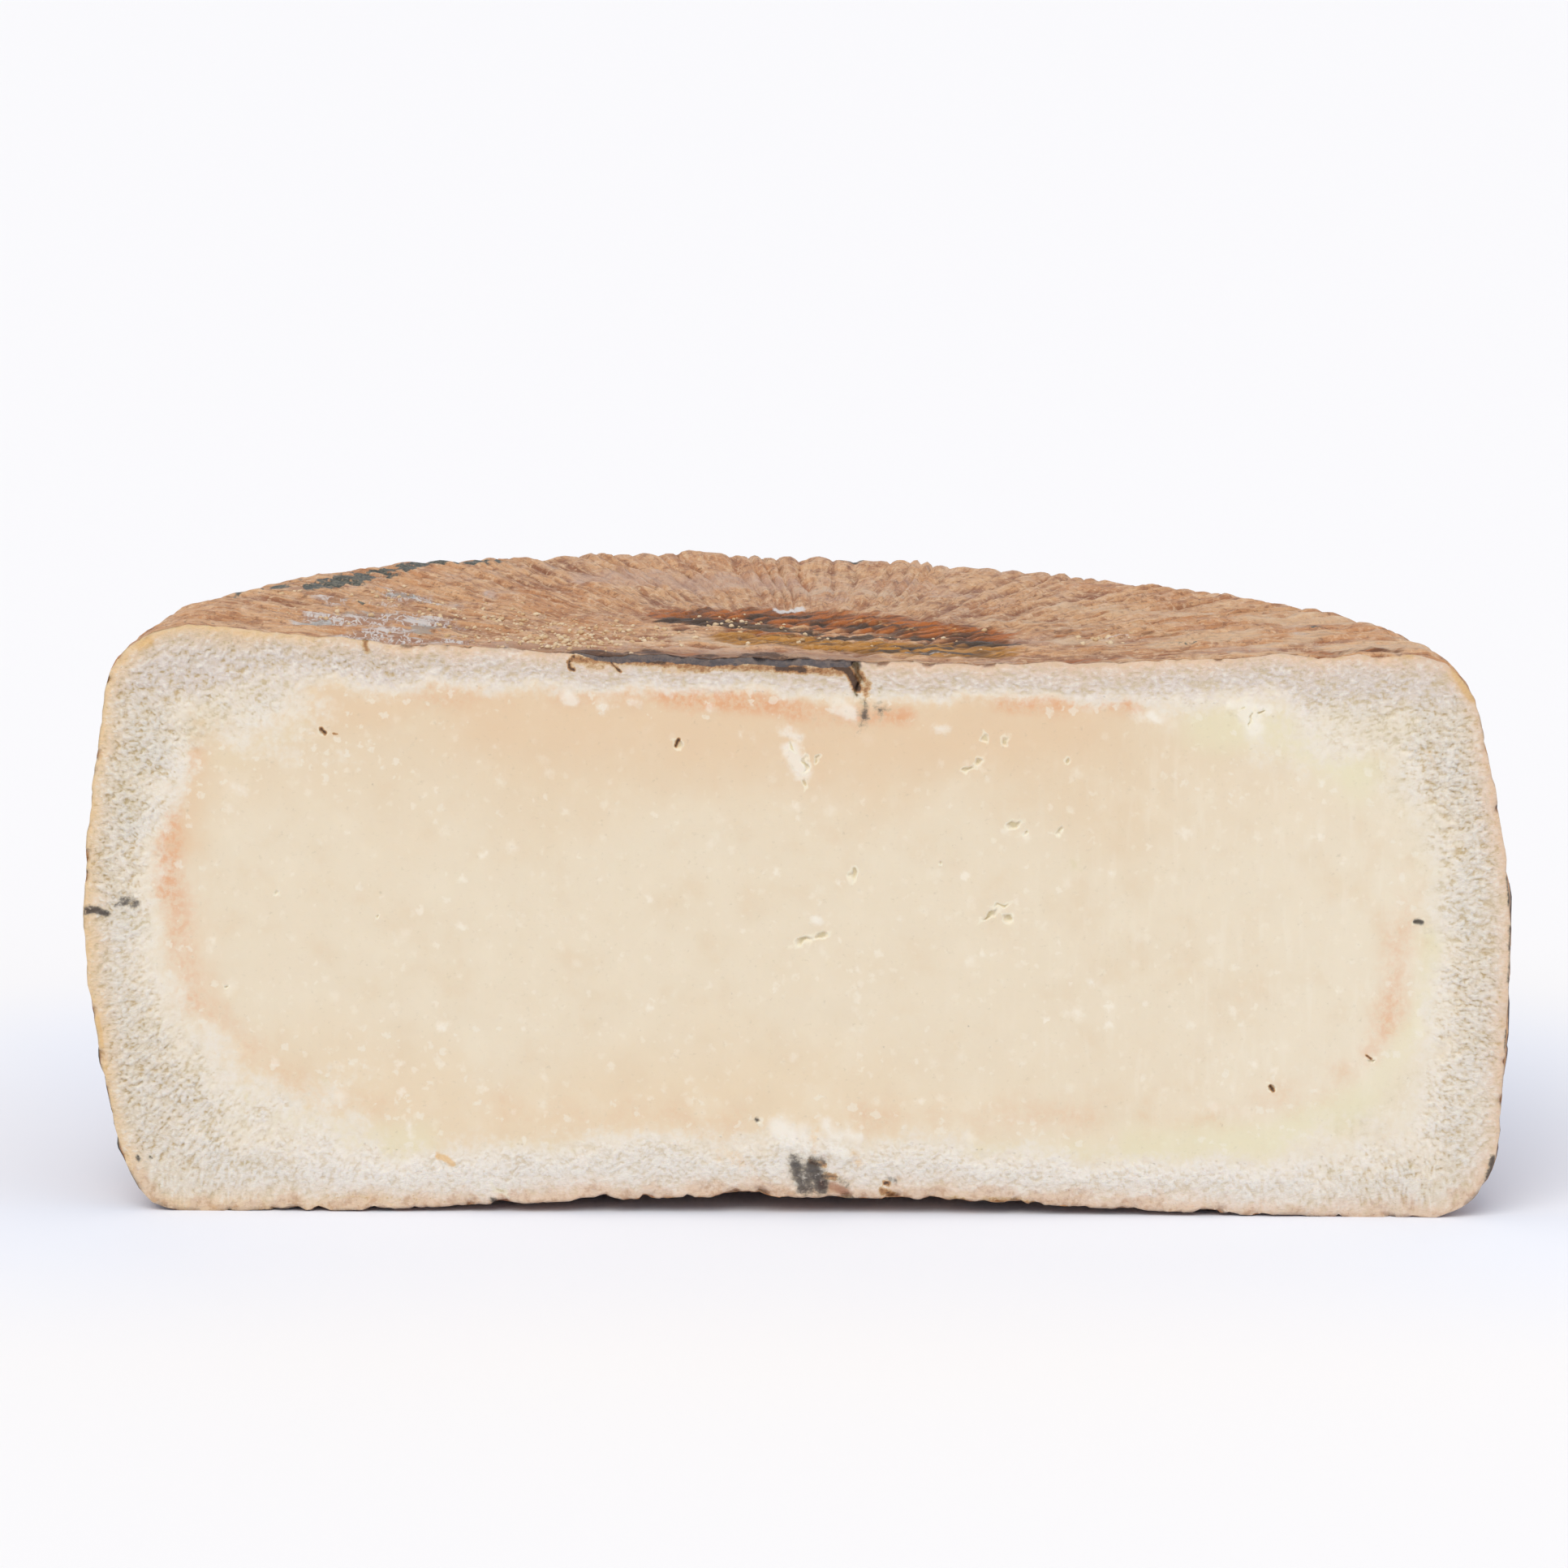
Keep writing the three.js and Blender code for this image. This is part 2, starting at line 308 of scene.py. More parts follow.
def reedsAt(angle, points):
    # the reeds are counted round the wheel and are unevenly far apart
    wobble = 0.35 * noiseAt(points, 30, 1.0)
    uneven = 0.45 * np.sin(angle * 23)
    return angle / math.pi * basket["reeds"] + wobble + uneven + 0.3 * np.sin(angle * 41 + 1)


def strandsOf(x, y, points):
    # the twisted strands in the middle of the top, where the basket was started
    turn = knotPatch["strandTurn"]
    dx, dy = x - knotPatch["place"][0], y - knotPatch["place"][1]
    along = dx * math.cos(turn) + dy * math.sin(turn)
    across = dy * math.cos(turn) - dx * math.sin(turn) + 1.6 * noiseAt(points, 16, 4.0)
    index = np.floor(across / knotPatch["strand"])
    broken = dome((along + 30 * hashOf(index)) / (11 + 6 * hashOf(index, 2.0)))
    return dome(across / knotPatch["strand"]) * (0.35 + 0.65 * np.sqrt(broken))


def topRelief(r, x, y, reed, reedBack, nearCut, onKnot, points):
    # radial reed marks, finer straws further in, and the twisted knot
    onReeds = smooth(*basket["reedReach"], r)
    polar = np.stack([reed, r / 34, np.zeros_like(r)], 1)
    straw = noiseAt(polar, 1.0, 2.0) * 0.6 + noiseAt(polar * (2.3, 1.6, 1), 1.0, 3.0) * 0.4
    straw = blend(noiseAt(points, (15, 4, 4), 17.0) * 0.7, straw, smooth(*basket["strawReach"], r))
    out = basket["reedDepth"] / 2 * reedBack * onReeds * blend(0.6, 1, nearCut)
    out = out + straw * blend(*basket["strawDepth"], onReeds)
    out = out + basket["topLumps"] * noiseAt(points, (6, 5, 4), 18.0)
    return blend(out, knotPatch["depth"] * (strandsOf(x, y, points) - 0.75), onKnot)


def sideRelief(rowShare, reed, reedBack, own, nearCut, points):
    # weft rows that pass over one stake and under the next
    row = rowShare * basket["rows"] + 0.18 * noiseAt(points, 18, 6.0)
    overStake = 0.5 + 0.5 * np.cos(math.pi * (reed + np.floor(row)))
    weft = dome(row) * (0.25 + 0.75 * overStake)
    stake = dome(reed) * (1 - overStake) * 0.8
    inRows = smooth(0, 0.6, row) * smooth(0, 0.6, basket["rows"] - row)
    woven = basket["weaveDepth"] * (np.maximum(weft, stake) - 0.72) * own
    return blend(reedBack * 0.6, woven, inRows) * blend(basket["sideNearCut"], 1, nearCut)


def baseRelief(r, x, reed, fromCut, points):
    # shallow furrows and dents that only go inwards, and nicks along the edge of the cut
    offLand = np.where(r < wheel["landInner"], smooth(0, 8, wheel["landInner"] - r),
                       smooth(0, 4, r - wheel["landOuter"] - 1))
    furrow = (1 - dome(reed)) * smooth(50, 100, r) * 0.8 * blend(0.2, 1, smooth(4, 24, fromCut))
    broad, small = basket["dentDepth"]
    dents = smooth(0.05, 0.5, noiseAt(points, 13, 7.0, 3)) * broad
    dents = dents + smooth(0.1, 0.6, noiseAt(points, 5, 8.0)) * small
    dents = dents * blend(0.5, 1, smooth(4, 20, fromCut))
    out = -offLand * (furrow * basket["baseDepth"] + dents)
    nicks = smooth(0.25, 0.5, noiseAt(points, (3.4, 9, 9), 13.0))
    nicks = nicks + 0.5 * smooth(0.2, 0.6, noiseAt(points, 1.6, 14.0))
    atCut = (1 - smooth(2, 12, fromCut)) * (np.abs(x) < wheel["landInner"])
    return out - basket["nickDepth"] * nicks * atCut


def growthAt(scab, x, z, fromCut, outR):
    end, height, length, tall, _ = scab
    along = fromCut / length
    growth = np.exp(-1.5 * ((z - height) / tall) ** 4) * smooth(0.05, 0.3, along)
    return growth * (1 - smooth(0.5, 1.2, along)) * (np.sign(x) == end) * outR


def rindRelief(angle, form, points):
    # how far the rind stands out from the smooth form, in millimetres
    r, z, zone = form["r"], form["z"], form["zone"]
    x, fromCut = r * np.cos(angle), r * np.sin(angle)
    nearCut = smooth(0, basket["calmBehindCut"], fromCut)
    reed = reedsAt(angle, points)
    own = 0.4 + 0.6 * hashOf(np.floor(reed))
    reedBack = (2 * dome(reed) - 1.1) * own
    patch = spot(x, fromCut, knotPatch["place"], knotPatch["size"], knotPatch["turn"])
    onKnot = smooth(0.42, 0.62, patch + 0.12 * noiseAt(points, 9, 5.0)) * (zone == top)
    topOut = topRelief(r, x, fromCut, reed, reedBack, nearCut, onKnot, points)
    sideOut = sideRelief(form["row"], reed, reedBack, own, nearCut, points)
    baseOut = baseRelief(r, x, reed, fromCut, points)
    facesUp, facesDown = np.clip(form["outZ"], 0, 1), np.clip(-form["outZ"], 0, 1)
    out = np.choose(zone, [
        topOut, blend(sideOut, topOut, facesUp), sideOut, blend(sideOut, baseOut, facesDown), baseOut])

    lumps = sum(height * noiseAt(points, size, seed)
                for (size, height), seed in zip(surface["lumps"], (9.0, 10.0)))
    size, height = surface["wrinkles"]
    wrinkles = height * noiseAt(points, size, 11.0)
    out = out + (lumps * blend(0.5, 1, nearCut) + wrinkles) * (zone != base)
    size, height = surface["pits"]
    pinholes = 0.6 * noiseAt(points, surface["pinholes"], 16.0)
    pitted = smooth(0.3, 0.75, noiseAt(points, size, 15.0)) + pinholes
    out = out - height * pitted * ((zone == top) | (zone == shoulder))

    scabbed = np.zeros_like(out)
    for scab in scabs:
        growth = growthAt(scab, x, z, fromCut, form["outR"])
        out = out + scab[-1] * growth * (0.8 + 0.35 * noiseAt(points, 3.5, 12.0))
        scabbed = np.maximum(scabbed, growth)
    return out, {"back": np.clip(0.5 + out / 2.2, 0, 1), "knot": onKnot, "scab": scabbed}


def wrapRind():
    deselectAll()
    bpy.ops.mesh.primitive_grid_add(
        x_subdivisions=sheet["columns"], y_subdivisions=sheet["stations"], size=2)
    piece = bpy.context.object
    piece.name = piece.data.name = "cheese_half"
    flat = readPoints(piece.data)
    angle = (flat[:, 0] + 1) / 2 * math.pi
    share = (1 - flat[:, 1]) / 2
    atRight, atLeft = flat[:, 0] < -1 + 1e-5, flat[:, 0] > 1 - 1e-5
    form = sectionAt(angle, share)
    turned = angle - swirlOf(angle, form["r"])
    sinTurned = np.where(atRight | atLeft, 0, np.sin(turned))
    cosTurned = np.where(atRight, 1, np.where(atLeft, -1, np.cos(turned)))
    r, z = form["r"], form["z"]
    points = np.stack([r * cosTurned, r * sinTurned, z], 1)
    out, marks = rindRelief(angle, form, points)
    out = out * smooth(0, 3, r)
    r = r + out * form["outR"]
    z = np.maximum(z + out * form["outZ"], 0)
    points = np.stack([r * cosTurned, r * sinTurned, z], 1)
    writePoints(piece.data, points)
    for name, values in marks.items():
        keepAttribute(piece.data, name, values)
    keepAttribute(piece.data, "zone", form["zone"])
    return piece


def fillCut(piece):
    # closes the poles and fills the open D-shaped side with an even grid
    bpy.ops.object.mode_set(mode="EDIT")
    bpy.ops.mesh.select_mode(type="VERT")
    bpy.ops.mesh.select_all(action="SELECT")
    bpy.ops.mesh.remove_doubles(threshold=1e-3)
    bpy.ops.mesh.normals_make_consistent(inside=False)
    bpy.ops.mesh.select_all(action="DESELECT")
    bpy.ops.mesh.select_mode(type="EDGE")
    bpy.ops.mesh.select_non_manifold(
        extend=False, use_wire=False, use_boundary=True, use_multi_face=False,
        use_non_contiguous=False, use_verts=False)
    bpy.ops.mesh.mark_sharp()
    edit = bmesh.from_edit_mesh(piece.data)
    rim = [v for v in edit.verts if v.select]
    corner = max(rim, key=lambda v: v.co.x + v.co.z)
    edit.select_history.clear()
    edit.select_history.add(corner)
    lowest = corner.co.z - sheet["cornerDrop"]
    topCount = len([v for v in rim if v.co.z > lowest and abs(v.co.x) < abs(corner.co.x)])
    bpy.ops.mesh.fill_grid(span=topCount + 1, offset=0, use_interp_simple=True)
    bpy.ops.mesh.normals_make_consistent(inside=False)
    edit = bmesh.from_edit_mesh(piece.data)
    fill = edit.faces.layers.int.new("onCut")
    for face in edit.faces:
        face[fill] = int(face.select)
    print("cut filled with", sum(1 for f in edit.faces if f.select), "faces, span", topCount)
    bpy.ops.object.mode_set(mode="OBJECT")


# The cut face. The depth of the crumbly layer under the rind goes by the direction from the
# middle of the cut. Coarse places are middle and radius.
crumbLayer = {
    "middle": 62, "halfHeight": 60, "halfLength": 148,
    "degrees": (0, 18, 28, 39, 46, 50, 64, 90, 104, 116, 128, 132, 137, 142, 148, 160, 180, 192, 201,
                209, 217, 226, 231, 237, 246, 262, 270, 289, 297, 309, 315, 320, 327, 338, 360),
    "depth": (15, 14, 17, 20, 14, 10.5, 7.2, 7.2, 7.6, 8, 10, 14, 20, 22, 18, 15, 14, 15, 18,
              22, 26, 19, 14, 12, 12.5, 12.5, 13, 11, 10.5, 11, 14.5, 19, 17, 15.5, 15),
    "chipSize": 3.2,
    "relief": 0.5,
    "coarse": [((-128, 106), 20), ((-142, 80), 15), ((-138, 30), 20), ((136, 92), 18), ((140, 45), 14),
               ((-90, 112), 12), ((128, 16), 12)],
}

cutGrain = {
    "slant": (0.42, -0.15),             # of the knife's strokes, at the left and at the right
    "grains": (1.15, 1.0, 0.8),         # size along the stroke, back into the cut and across it
    "flakes": (1.4, 1.0, 0.8),
    "fine": (0.75, 1.0, 0.55),
    "lumps": 4.0,
    "shares": (0.5, 0.3, 0.3, 0.12),    # of grains, flakes, fine and lumps in the relief
    "waves": ((9, 0.1), (2.6, 0.06)),   # size and depth in the smooth paste
    "leastInward": 0.15,
    "tear": 0.55,                       # how ragged the eyes and the crack are
    "eyeDepth": 0.45,
}

# Chalky lumps standing a little proud of the cut: place, size, rise.
chalkLumps = [
    ((-1, 17.2), 3.2, 0.45), ((3, 14.2), 2.4, 0.4), ((8, 18.8), 2.4, 0.5), ((12.5, 17.2), 2.2, 0.5),
    ((10.6, 13), 1.8, 0.5), ((8.6, 108.7), 1.8, 0.5), ((10.8, 107.2), 1.5, 0.5),
    ((-0.6, 98.7), 2.4, 0.5), ((0.6, 95.7), 1.6, 0.4), ((94, 108.9), 2.4, 0.5),
    ((95.6, 105.4), 1.8, 0.4), ((91, 109.1), 1.6, 0.4), ((-47.8, 110.1), 1.6, 0.45),
    ((-41, 108.7), 1.4, 0.4), ((-34, 109.5), 1.4, 0.3), ((-18.4, 108.5), 1.4, 0.3),
    ((30, 104.4), 1.5, 0.3), ((-117, 90.2), 1.4, 0.3), ((62, 106.4), 1.6, 0.3),
    ((-84, 106.4), 1.8, 0.3),
]

# Eyes and tears: x, z, length, height, turn, depth.
eyes = [
    (40.6, 64.8, 3.4, 1.0, 0.5, 1.6), (44.6, 64.2, 2.2, 1.3, -0.6, 1.8),
    (43.0, 66.9, 3.6, 0.7, 0.15, 0.8), (1.2, 59.0, 3.6, 1.4, 0.45, 1.7),
    (5.0, 60.2, 3.2, 1.1, 0.3, 1.6), (35.6, 96.0, 2.4, 0.9, 0.5, 1.2), (37.9, 97.5, 1.9, 1.5, 0.9, 1.5),
    (43.4, 101.9, 1.2, 1.9, 0.0, 1.2), (39.0, 102.6, 0.9, 1.6, 0.2, 0.8),
    (45.4, 84.0, 3.0, 1.3, 0.35, 1.5), (47.6, 82.3, 1.2, 0.8, 0.2, 0.8),
    (54.9, 82.9, 1.0, 1.7, -0.3, 1.2), (12.0, 73.3, 1.3, 2.5, -0.3, 1.4),
    (1.6, 96.9, 0.9, 3.6, 0.1, 1.3), (4.0, 97.4, 0.9, 1.5, -0.4, 1.0), (1.4, 92.5, 0.7, 1.6, 0.0, 1.0),
    (-1.2, 100.2, 2.2, 0.6, -0.9, 0.8), (-25.4, 100.8, 1.5, 1.7, 0.6, 1.5),
    (-99.4, 103.2, 1.6, 1.1, -0.5, 1.4), (56.4, 97.7, 1.2, 1.0, 0.0, 1.0),
    (29.9, 75.6, 0.8, 0.6, 0.7, 0.8), (-88.3, 63.8, 1.1, 0.7, 0.5, 0.7),
    (-109.6, 68.6, 0.9, 0.9, 0.0, 0.8), (-120.2, 48.5, 1.2, 0.8, 0.2, 0.8),
    (100.5, 28.0, 1.6, 0.9, -0.7, 1.6), (121.2, 34.3, 1.5, 0.6, 0.2, 1.2),
    (-62.6, 4.9, 3.4, 0.8, -0.5, 0.9), (94.6, 107.0, 0.7, 3.4, -0.25, 1.4),
    (92.6, 109.1, 2.4, 0.6, 0.8, 1.0), (96.8, 108.5, 1.8, 0.6, 0.2, 1.0),
    (-7.9, 20.4, 0.8, 0.7, 0.0, 1.0), (-139.4, 11.4, 0.8, 0.8, 0.0, 0.7),
    (-136.8, 11.4, 0.6, 0.6, 0.0, 0.6), (130.6, 63.8, 1.8, 0.8, 0.1, 0.5),
]

crack = {"path": [(11.6, 118.6), (12.6, 114.1), (12.0, 111.7), (13.4, 109.3)], "width": 1.0, "depth": 3.4}


def crumbDepthAt(x, z):
    up, along = (z - crumbLayer["middle"]) / crumbLayer["halfHeight"], x / crumbLayer["halfLength"]
    around = np.degrees(np.arctan2(up, along)) % 360
    return np.interp(around, crumbLayer["degrees"], crumbLayer["depth"])


def cutPoints(piece):
    # which points lie on the cut, and which of them on its outline
    mesh = piece.data
    onCut = np.zeros(len(mesh.vertices), bool)
    onRind = np.zeros(len(mesh.vertices), bool)
    marked = np.empty(len(mesh.polygons), np.int32)
    mesh.attributes["onCut"].data.foreach_get("value", marked)
    for polygon, cut in zip(mesh.polygons, marked):
        (onCut if cut else onRind)[list(polygon.vertices)] = True
    return onCut, onCut & onRind


def outlineOf(piece, outline):
    # the outline of the cut as one closed chain of points, in order
    mesh = piece.data
    follows = {}
    for edge in mesh.edges:
        a, b = edge.vertices
        if outline[a] and outline[b]:
            follows.setdefault(a, []).append(b)
            follows.setdefault(b, []).append(a)
    first = next(iter(follows))
    chain, last = [first], None
    while True:
        ahead = [v for v in follows[chain[-1]] if v != last]
        last = chain[-1]
        if ahead[0] == first or len(chain) > len(follows):
            return chain
        chain.append(ahead[0])


def cutPath(piece):
    _, outline = cutPoints(piece)
    points = readPoints(piece.data)
    chain = outlineOf(piece, outline)
    path = [(points[i][0], points[i][2]) for i in chain[::2]]
    return path + path[:1]


def selectCut(piece, wanted):
    # selects the faces of the cut whose middles are wanted, given their x and z
    bpy.ops.object.mode_set(mode="EDIT")
    bpy.ops.mesh.select_mode(type="FACE")
    bpy.ops.mesh.select_all(action="DESELECT")
    edit = bmesh.from_edit_mesh(piece.data)
    fill = edit.faces.layers.int["onCut"]
    faces = [face for face in edit.faces if face[fill]]
    middles = np.array([tuple(face.calc_center_median())[::2] for face in faces])
    for face, chosen in zip(faces, wanted(middles[:, 0], middles[:, 1])):
        face.select = bool(chosen)
    bmesh.update_edit_mesh(piece.data)


def nearEye(x, z, distance):
    return np.any([np.hypot(x - eye[0], z - eye[1]) < distance for eye in eyes], axis=0)


def wholeCut(x, z):
    return np.ones(len(x), bool)


def refineCut(piece, path):
    # finer faces where the cut is crumbly, coarser ones in the smooth paste
    def inCrumb(x, z):
        return toPath(x, z, path) < crumbDepthAt(x, z) * sheet["fineCrumb"]

    selectCut(piece, inCrumb)
    bpy.ops.mesh.subdivide(number_cuts=1)
    bpy.ops.object.mode_set(mode="OBJECT")
    selectCut(piece, lambda x, z: nearEye(x, z, sheet["fineEye"]) & ~inCrumb(x, z))
    bpy.ops.mesh.subdivide(number_cuts=1)
    bpy.ops.mesh.subdivide(number_cuts=1)
    bpy.ops.object.mode_set(mode="OBJECT")


def grainOf(x, z, flatPlace):
    # flakes of crumb, a little longer along the stroke of the knife, and how they were pushed about
    left, right = cutGrain["slant"]
    slant = blend(left, right, np.clip((x + 140) / 280, 0, 1))
    along = x * np.cos(slant) + z * np.sin(slant)
    across = z * np.cos(slant) - x * np.sin(slant)
    stroke = np.stack([along, np.zeros_like(x), across], 1)
    warp = np.stack([noiseAt(flatPlace, 3, 23.0), np.zeros_like(x), noiseAt(flatPlace, 3, 24.0)], 1)
    layers = (
        cellsAt(stroke + 0.5 * warp, cutGrain["grains"], 25.0),
        noiseAt(stroke + warp, cutGrain["flakes"], 26.0),
        noiseAt(stroke, cutGrain["fine"], 32.0),
        noiseAt(flatPlace, cutGrain["lumps"], 33.0),
    )
    grain = sum(share * layer for share, layer in zip(cutGrain["shares"], layers))
    low, high = np.percentile(grain, (4, 96))
    return np.clip((grain - low) / (high - low), 0, 1), warp


def pasteInward(depth, share, grain, coarse, flatPlace):
    # how far the crumb's hollows and the soft waves of the paste lie behind the plane of the cut
    crumbly = 1 - smooth(0.6, 1.2, share + 0.25 * noiseAt(flatPlace, 5, 21.0))
    crumbly = crumbly * smooth(0, 3.5, depth + 1.2 * noiseAt(flatPlace, 3, 22.0) - 0.3)
    inward = crumbly * crumbLayer["relief"] * (1 - grain) * blend(0.7, 1.3, coarse)
    (longSize, longWave), (shortSize, shortWave) = cutGrain["waves"]
    soft = noiseAt(flatPlace, longSize, 27.0) * longWave + noiseAt(flatPlace, shortSize, 28.0) * shortWave
    return inward + cutGrain["leastInward"] + soft * (1 - crumbly)


def openEyes(inward, tornX, tornZ):
    eyeMark = np.zeros_like(inward)
    for x, z, length, height, turn, deep in eyes:
        hole = spot(tornX, tornZ, (x, z), (length / 2, height / 2), turn)
        eyeMark = np.maximum(eyeMark, hole)
        inward = inward + cutGrain["eyeDepth"] * deep * smooth(0.3, 0.8, hole)
    return inward, eyeMark


def openCrack(inward, z, tornX, tornZ):
    # widest and deepest at the top edge of the cut
    upper = smooth(crack["path"][-1][1], crack["path"][0][1], z)
    width = crack["width"] * blend(0.35, 1.2, upper)
    gap = 1 - smooth(0.25, 1, toPath(tornX, tornZ, crack["path"]) / width)
    return inward + gap * crack["depth"] * blend(0.5, 1, upper), gap


def shapeCut(piece, path):
    onCut, _ = cutPoints(piece)
    points = readPoints(piece.data)
    cut = points[onCut]
    x, z = cut[:, 0], cut[:, 2]
    depth = toPath(x, z, path)
    flatPlace = np.stack([x, np.zeros_like(x), z], 1)
    grain, warp = grainOf(x, z, flatPlace)
    coarse = np.max([spot(x, z, place, (size, size)) for place, size in crumbLayer["coarse"]], axis=0)
    inward = pasteInward(depth, depth / crumbDepthAt(x, z), grain, coarse, flatPlace)
    for place, size, rise in chalkLumps:
        lump = spot(x + 0.8 * warp[:, 0], z + 0.8 * warp[:, 2], place, (size, size))
        inward = inward - rise * smooth(0.3, 0.8, lump) * (0.5 + 0.5 * grain)
    tornX = x + cutGrain["tear"] * noiseAt(flatPlace, 1.5, 29.0)
    tornZ = z + cutGrain["tear"] * noiseAt(flatPlace, 1.4, 34.0)
    inward, eyeMark = openEyes(inward, tornX, tornZ)
    inward, gap = openCrack(inward, z, tornX, tornZ)

    # the knife left small chips along the edge, most where the crust is brittle
    chips = smooth(0.1, 0.75, noiseAt(flatPlace, crumbLayer["chipSize"], 30.0)) * 1.1 + 0.25
    brittle = smooth(0.2, 0.6, noiseAt(flatPlace, 14, 31.0) + 0.5)
    inward = inward + chips * (1 - smooth(0, 1.6, depth)) * brittle

    cut[:, 1] = np.maximum(inward, 0)
    points[onCut] = cut
    writePoints(piece.data, points)
    for name, values in (("grain", grain), ("coarse", coarse), ("eye", np.maximum(eyeMark, gap))):
        everywhere = np.zeros(len(points))
        everywhere[onCut] = values
        keepAttribute(piece.data, name, everywhere)


def thinOut(piece, rindShare, pasteShare, path):
    # fewer faces on the rind and in the smooth paste, where none are needed
    def inPaste(x, z):
        beyond = toPath(x, z, path) > crumbDepthAt(x, z) * sheet["keptCrumb"]
        return beyond & ~nearEye(x, z, sheet["keptEye"])

    selectCut(piece, inPaste)
    bpy.ops.mesh.decimate(ratio=pasteShare)
    bpy.ops.object.mode_set(mode="OBJECT")
    selectCut(piece, wholeCut)
    bpy.ops.mesh.select_all(action="INVERT")
    bpy.ops.mesh.decimate(ratio=rindShare)
    bpy.ops.mesh.select_all(action="SELECT")
    bpy.ops.mesh.quads_convert_to_tris(quad_method="SHORTEST_DIAGONAL", ngon_method="BEAUTY")
    bpy.ops.mesh.normals_make_consistent(inside=False)
    bpy.ops.object.mode_set(mode="OBJECT")


def takeApart(piece):
    # the paste and its cut face come away from the rind, each to be a closed piece
    selectCut(piece, wholeCut)
    bpy.ops.mesh.separate(type="SELECTED")
    bpy.ops.object.mode_set(mode="OBJECT")
    paste = next(each for each in bpy.context.selected_objects if each != piece)
    paste.name = paste.data.name = "cheese_paste"
    piece.name = piece.data.name = "cheese_rind"
    for each in (paste, piece):
        closeBehind(each)
    return piece, paste


def closeBehind(piece):
    # the open edge is drawn back into the wheel in two steps and closed there
    deselectAll()
    piece.select_set(True)
    bpy.context.view_layer.objects.active = piece
    bpy.ops.object.mode_set(mode="EDIT")
    bpy.ops.mesh.select_mode(type="EDGE")
    bpy.ops.mesh.select_all(action="DESELECT")
    bpy.ops.mesh.select_non_manifold(
        extend=False, use_wire=False, use_boundary=True, use_multi_face=False,
        use_non_contiguous=False, use_verts=False)
    for back, narrower in sheet["closing"]:
        bpy.ops.mesh.extrude_region_move(TRANSFORM_OT_translate={"value": (0, back, 0)})
        bpy.ops.transform.resize(value=(narrower, 1, narrower), center_override=sheet["closeAbout"])
    bpy.ops.mesh.fill()
    bpy.ops.mesh.select_all(action="SELECT")
    bpy.ops.mesh.quads_convert_to_tris(quad_method="SHORTEST_DIAGONAL", ngon_method="BEAUTY")
    bpy.ops.mesh.normals_make_consistent(inside=False)
    bpy.ops.object.mode_set(mode="OBJECT")


# Colour marks are kept on the points as soft fields. Each stroke is its path, its half width and
# its strength, in millimetres along the cut and above the base.

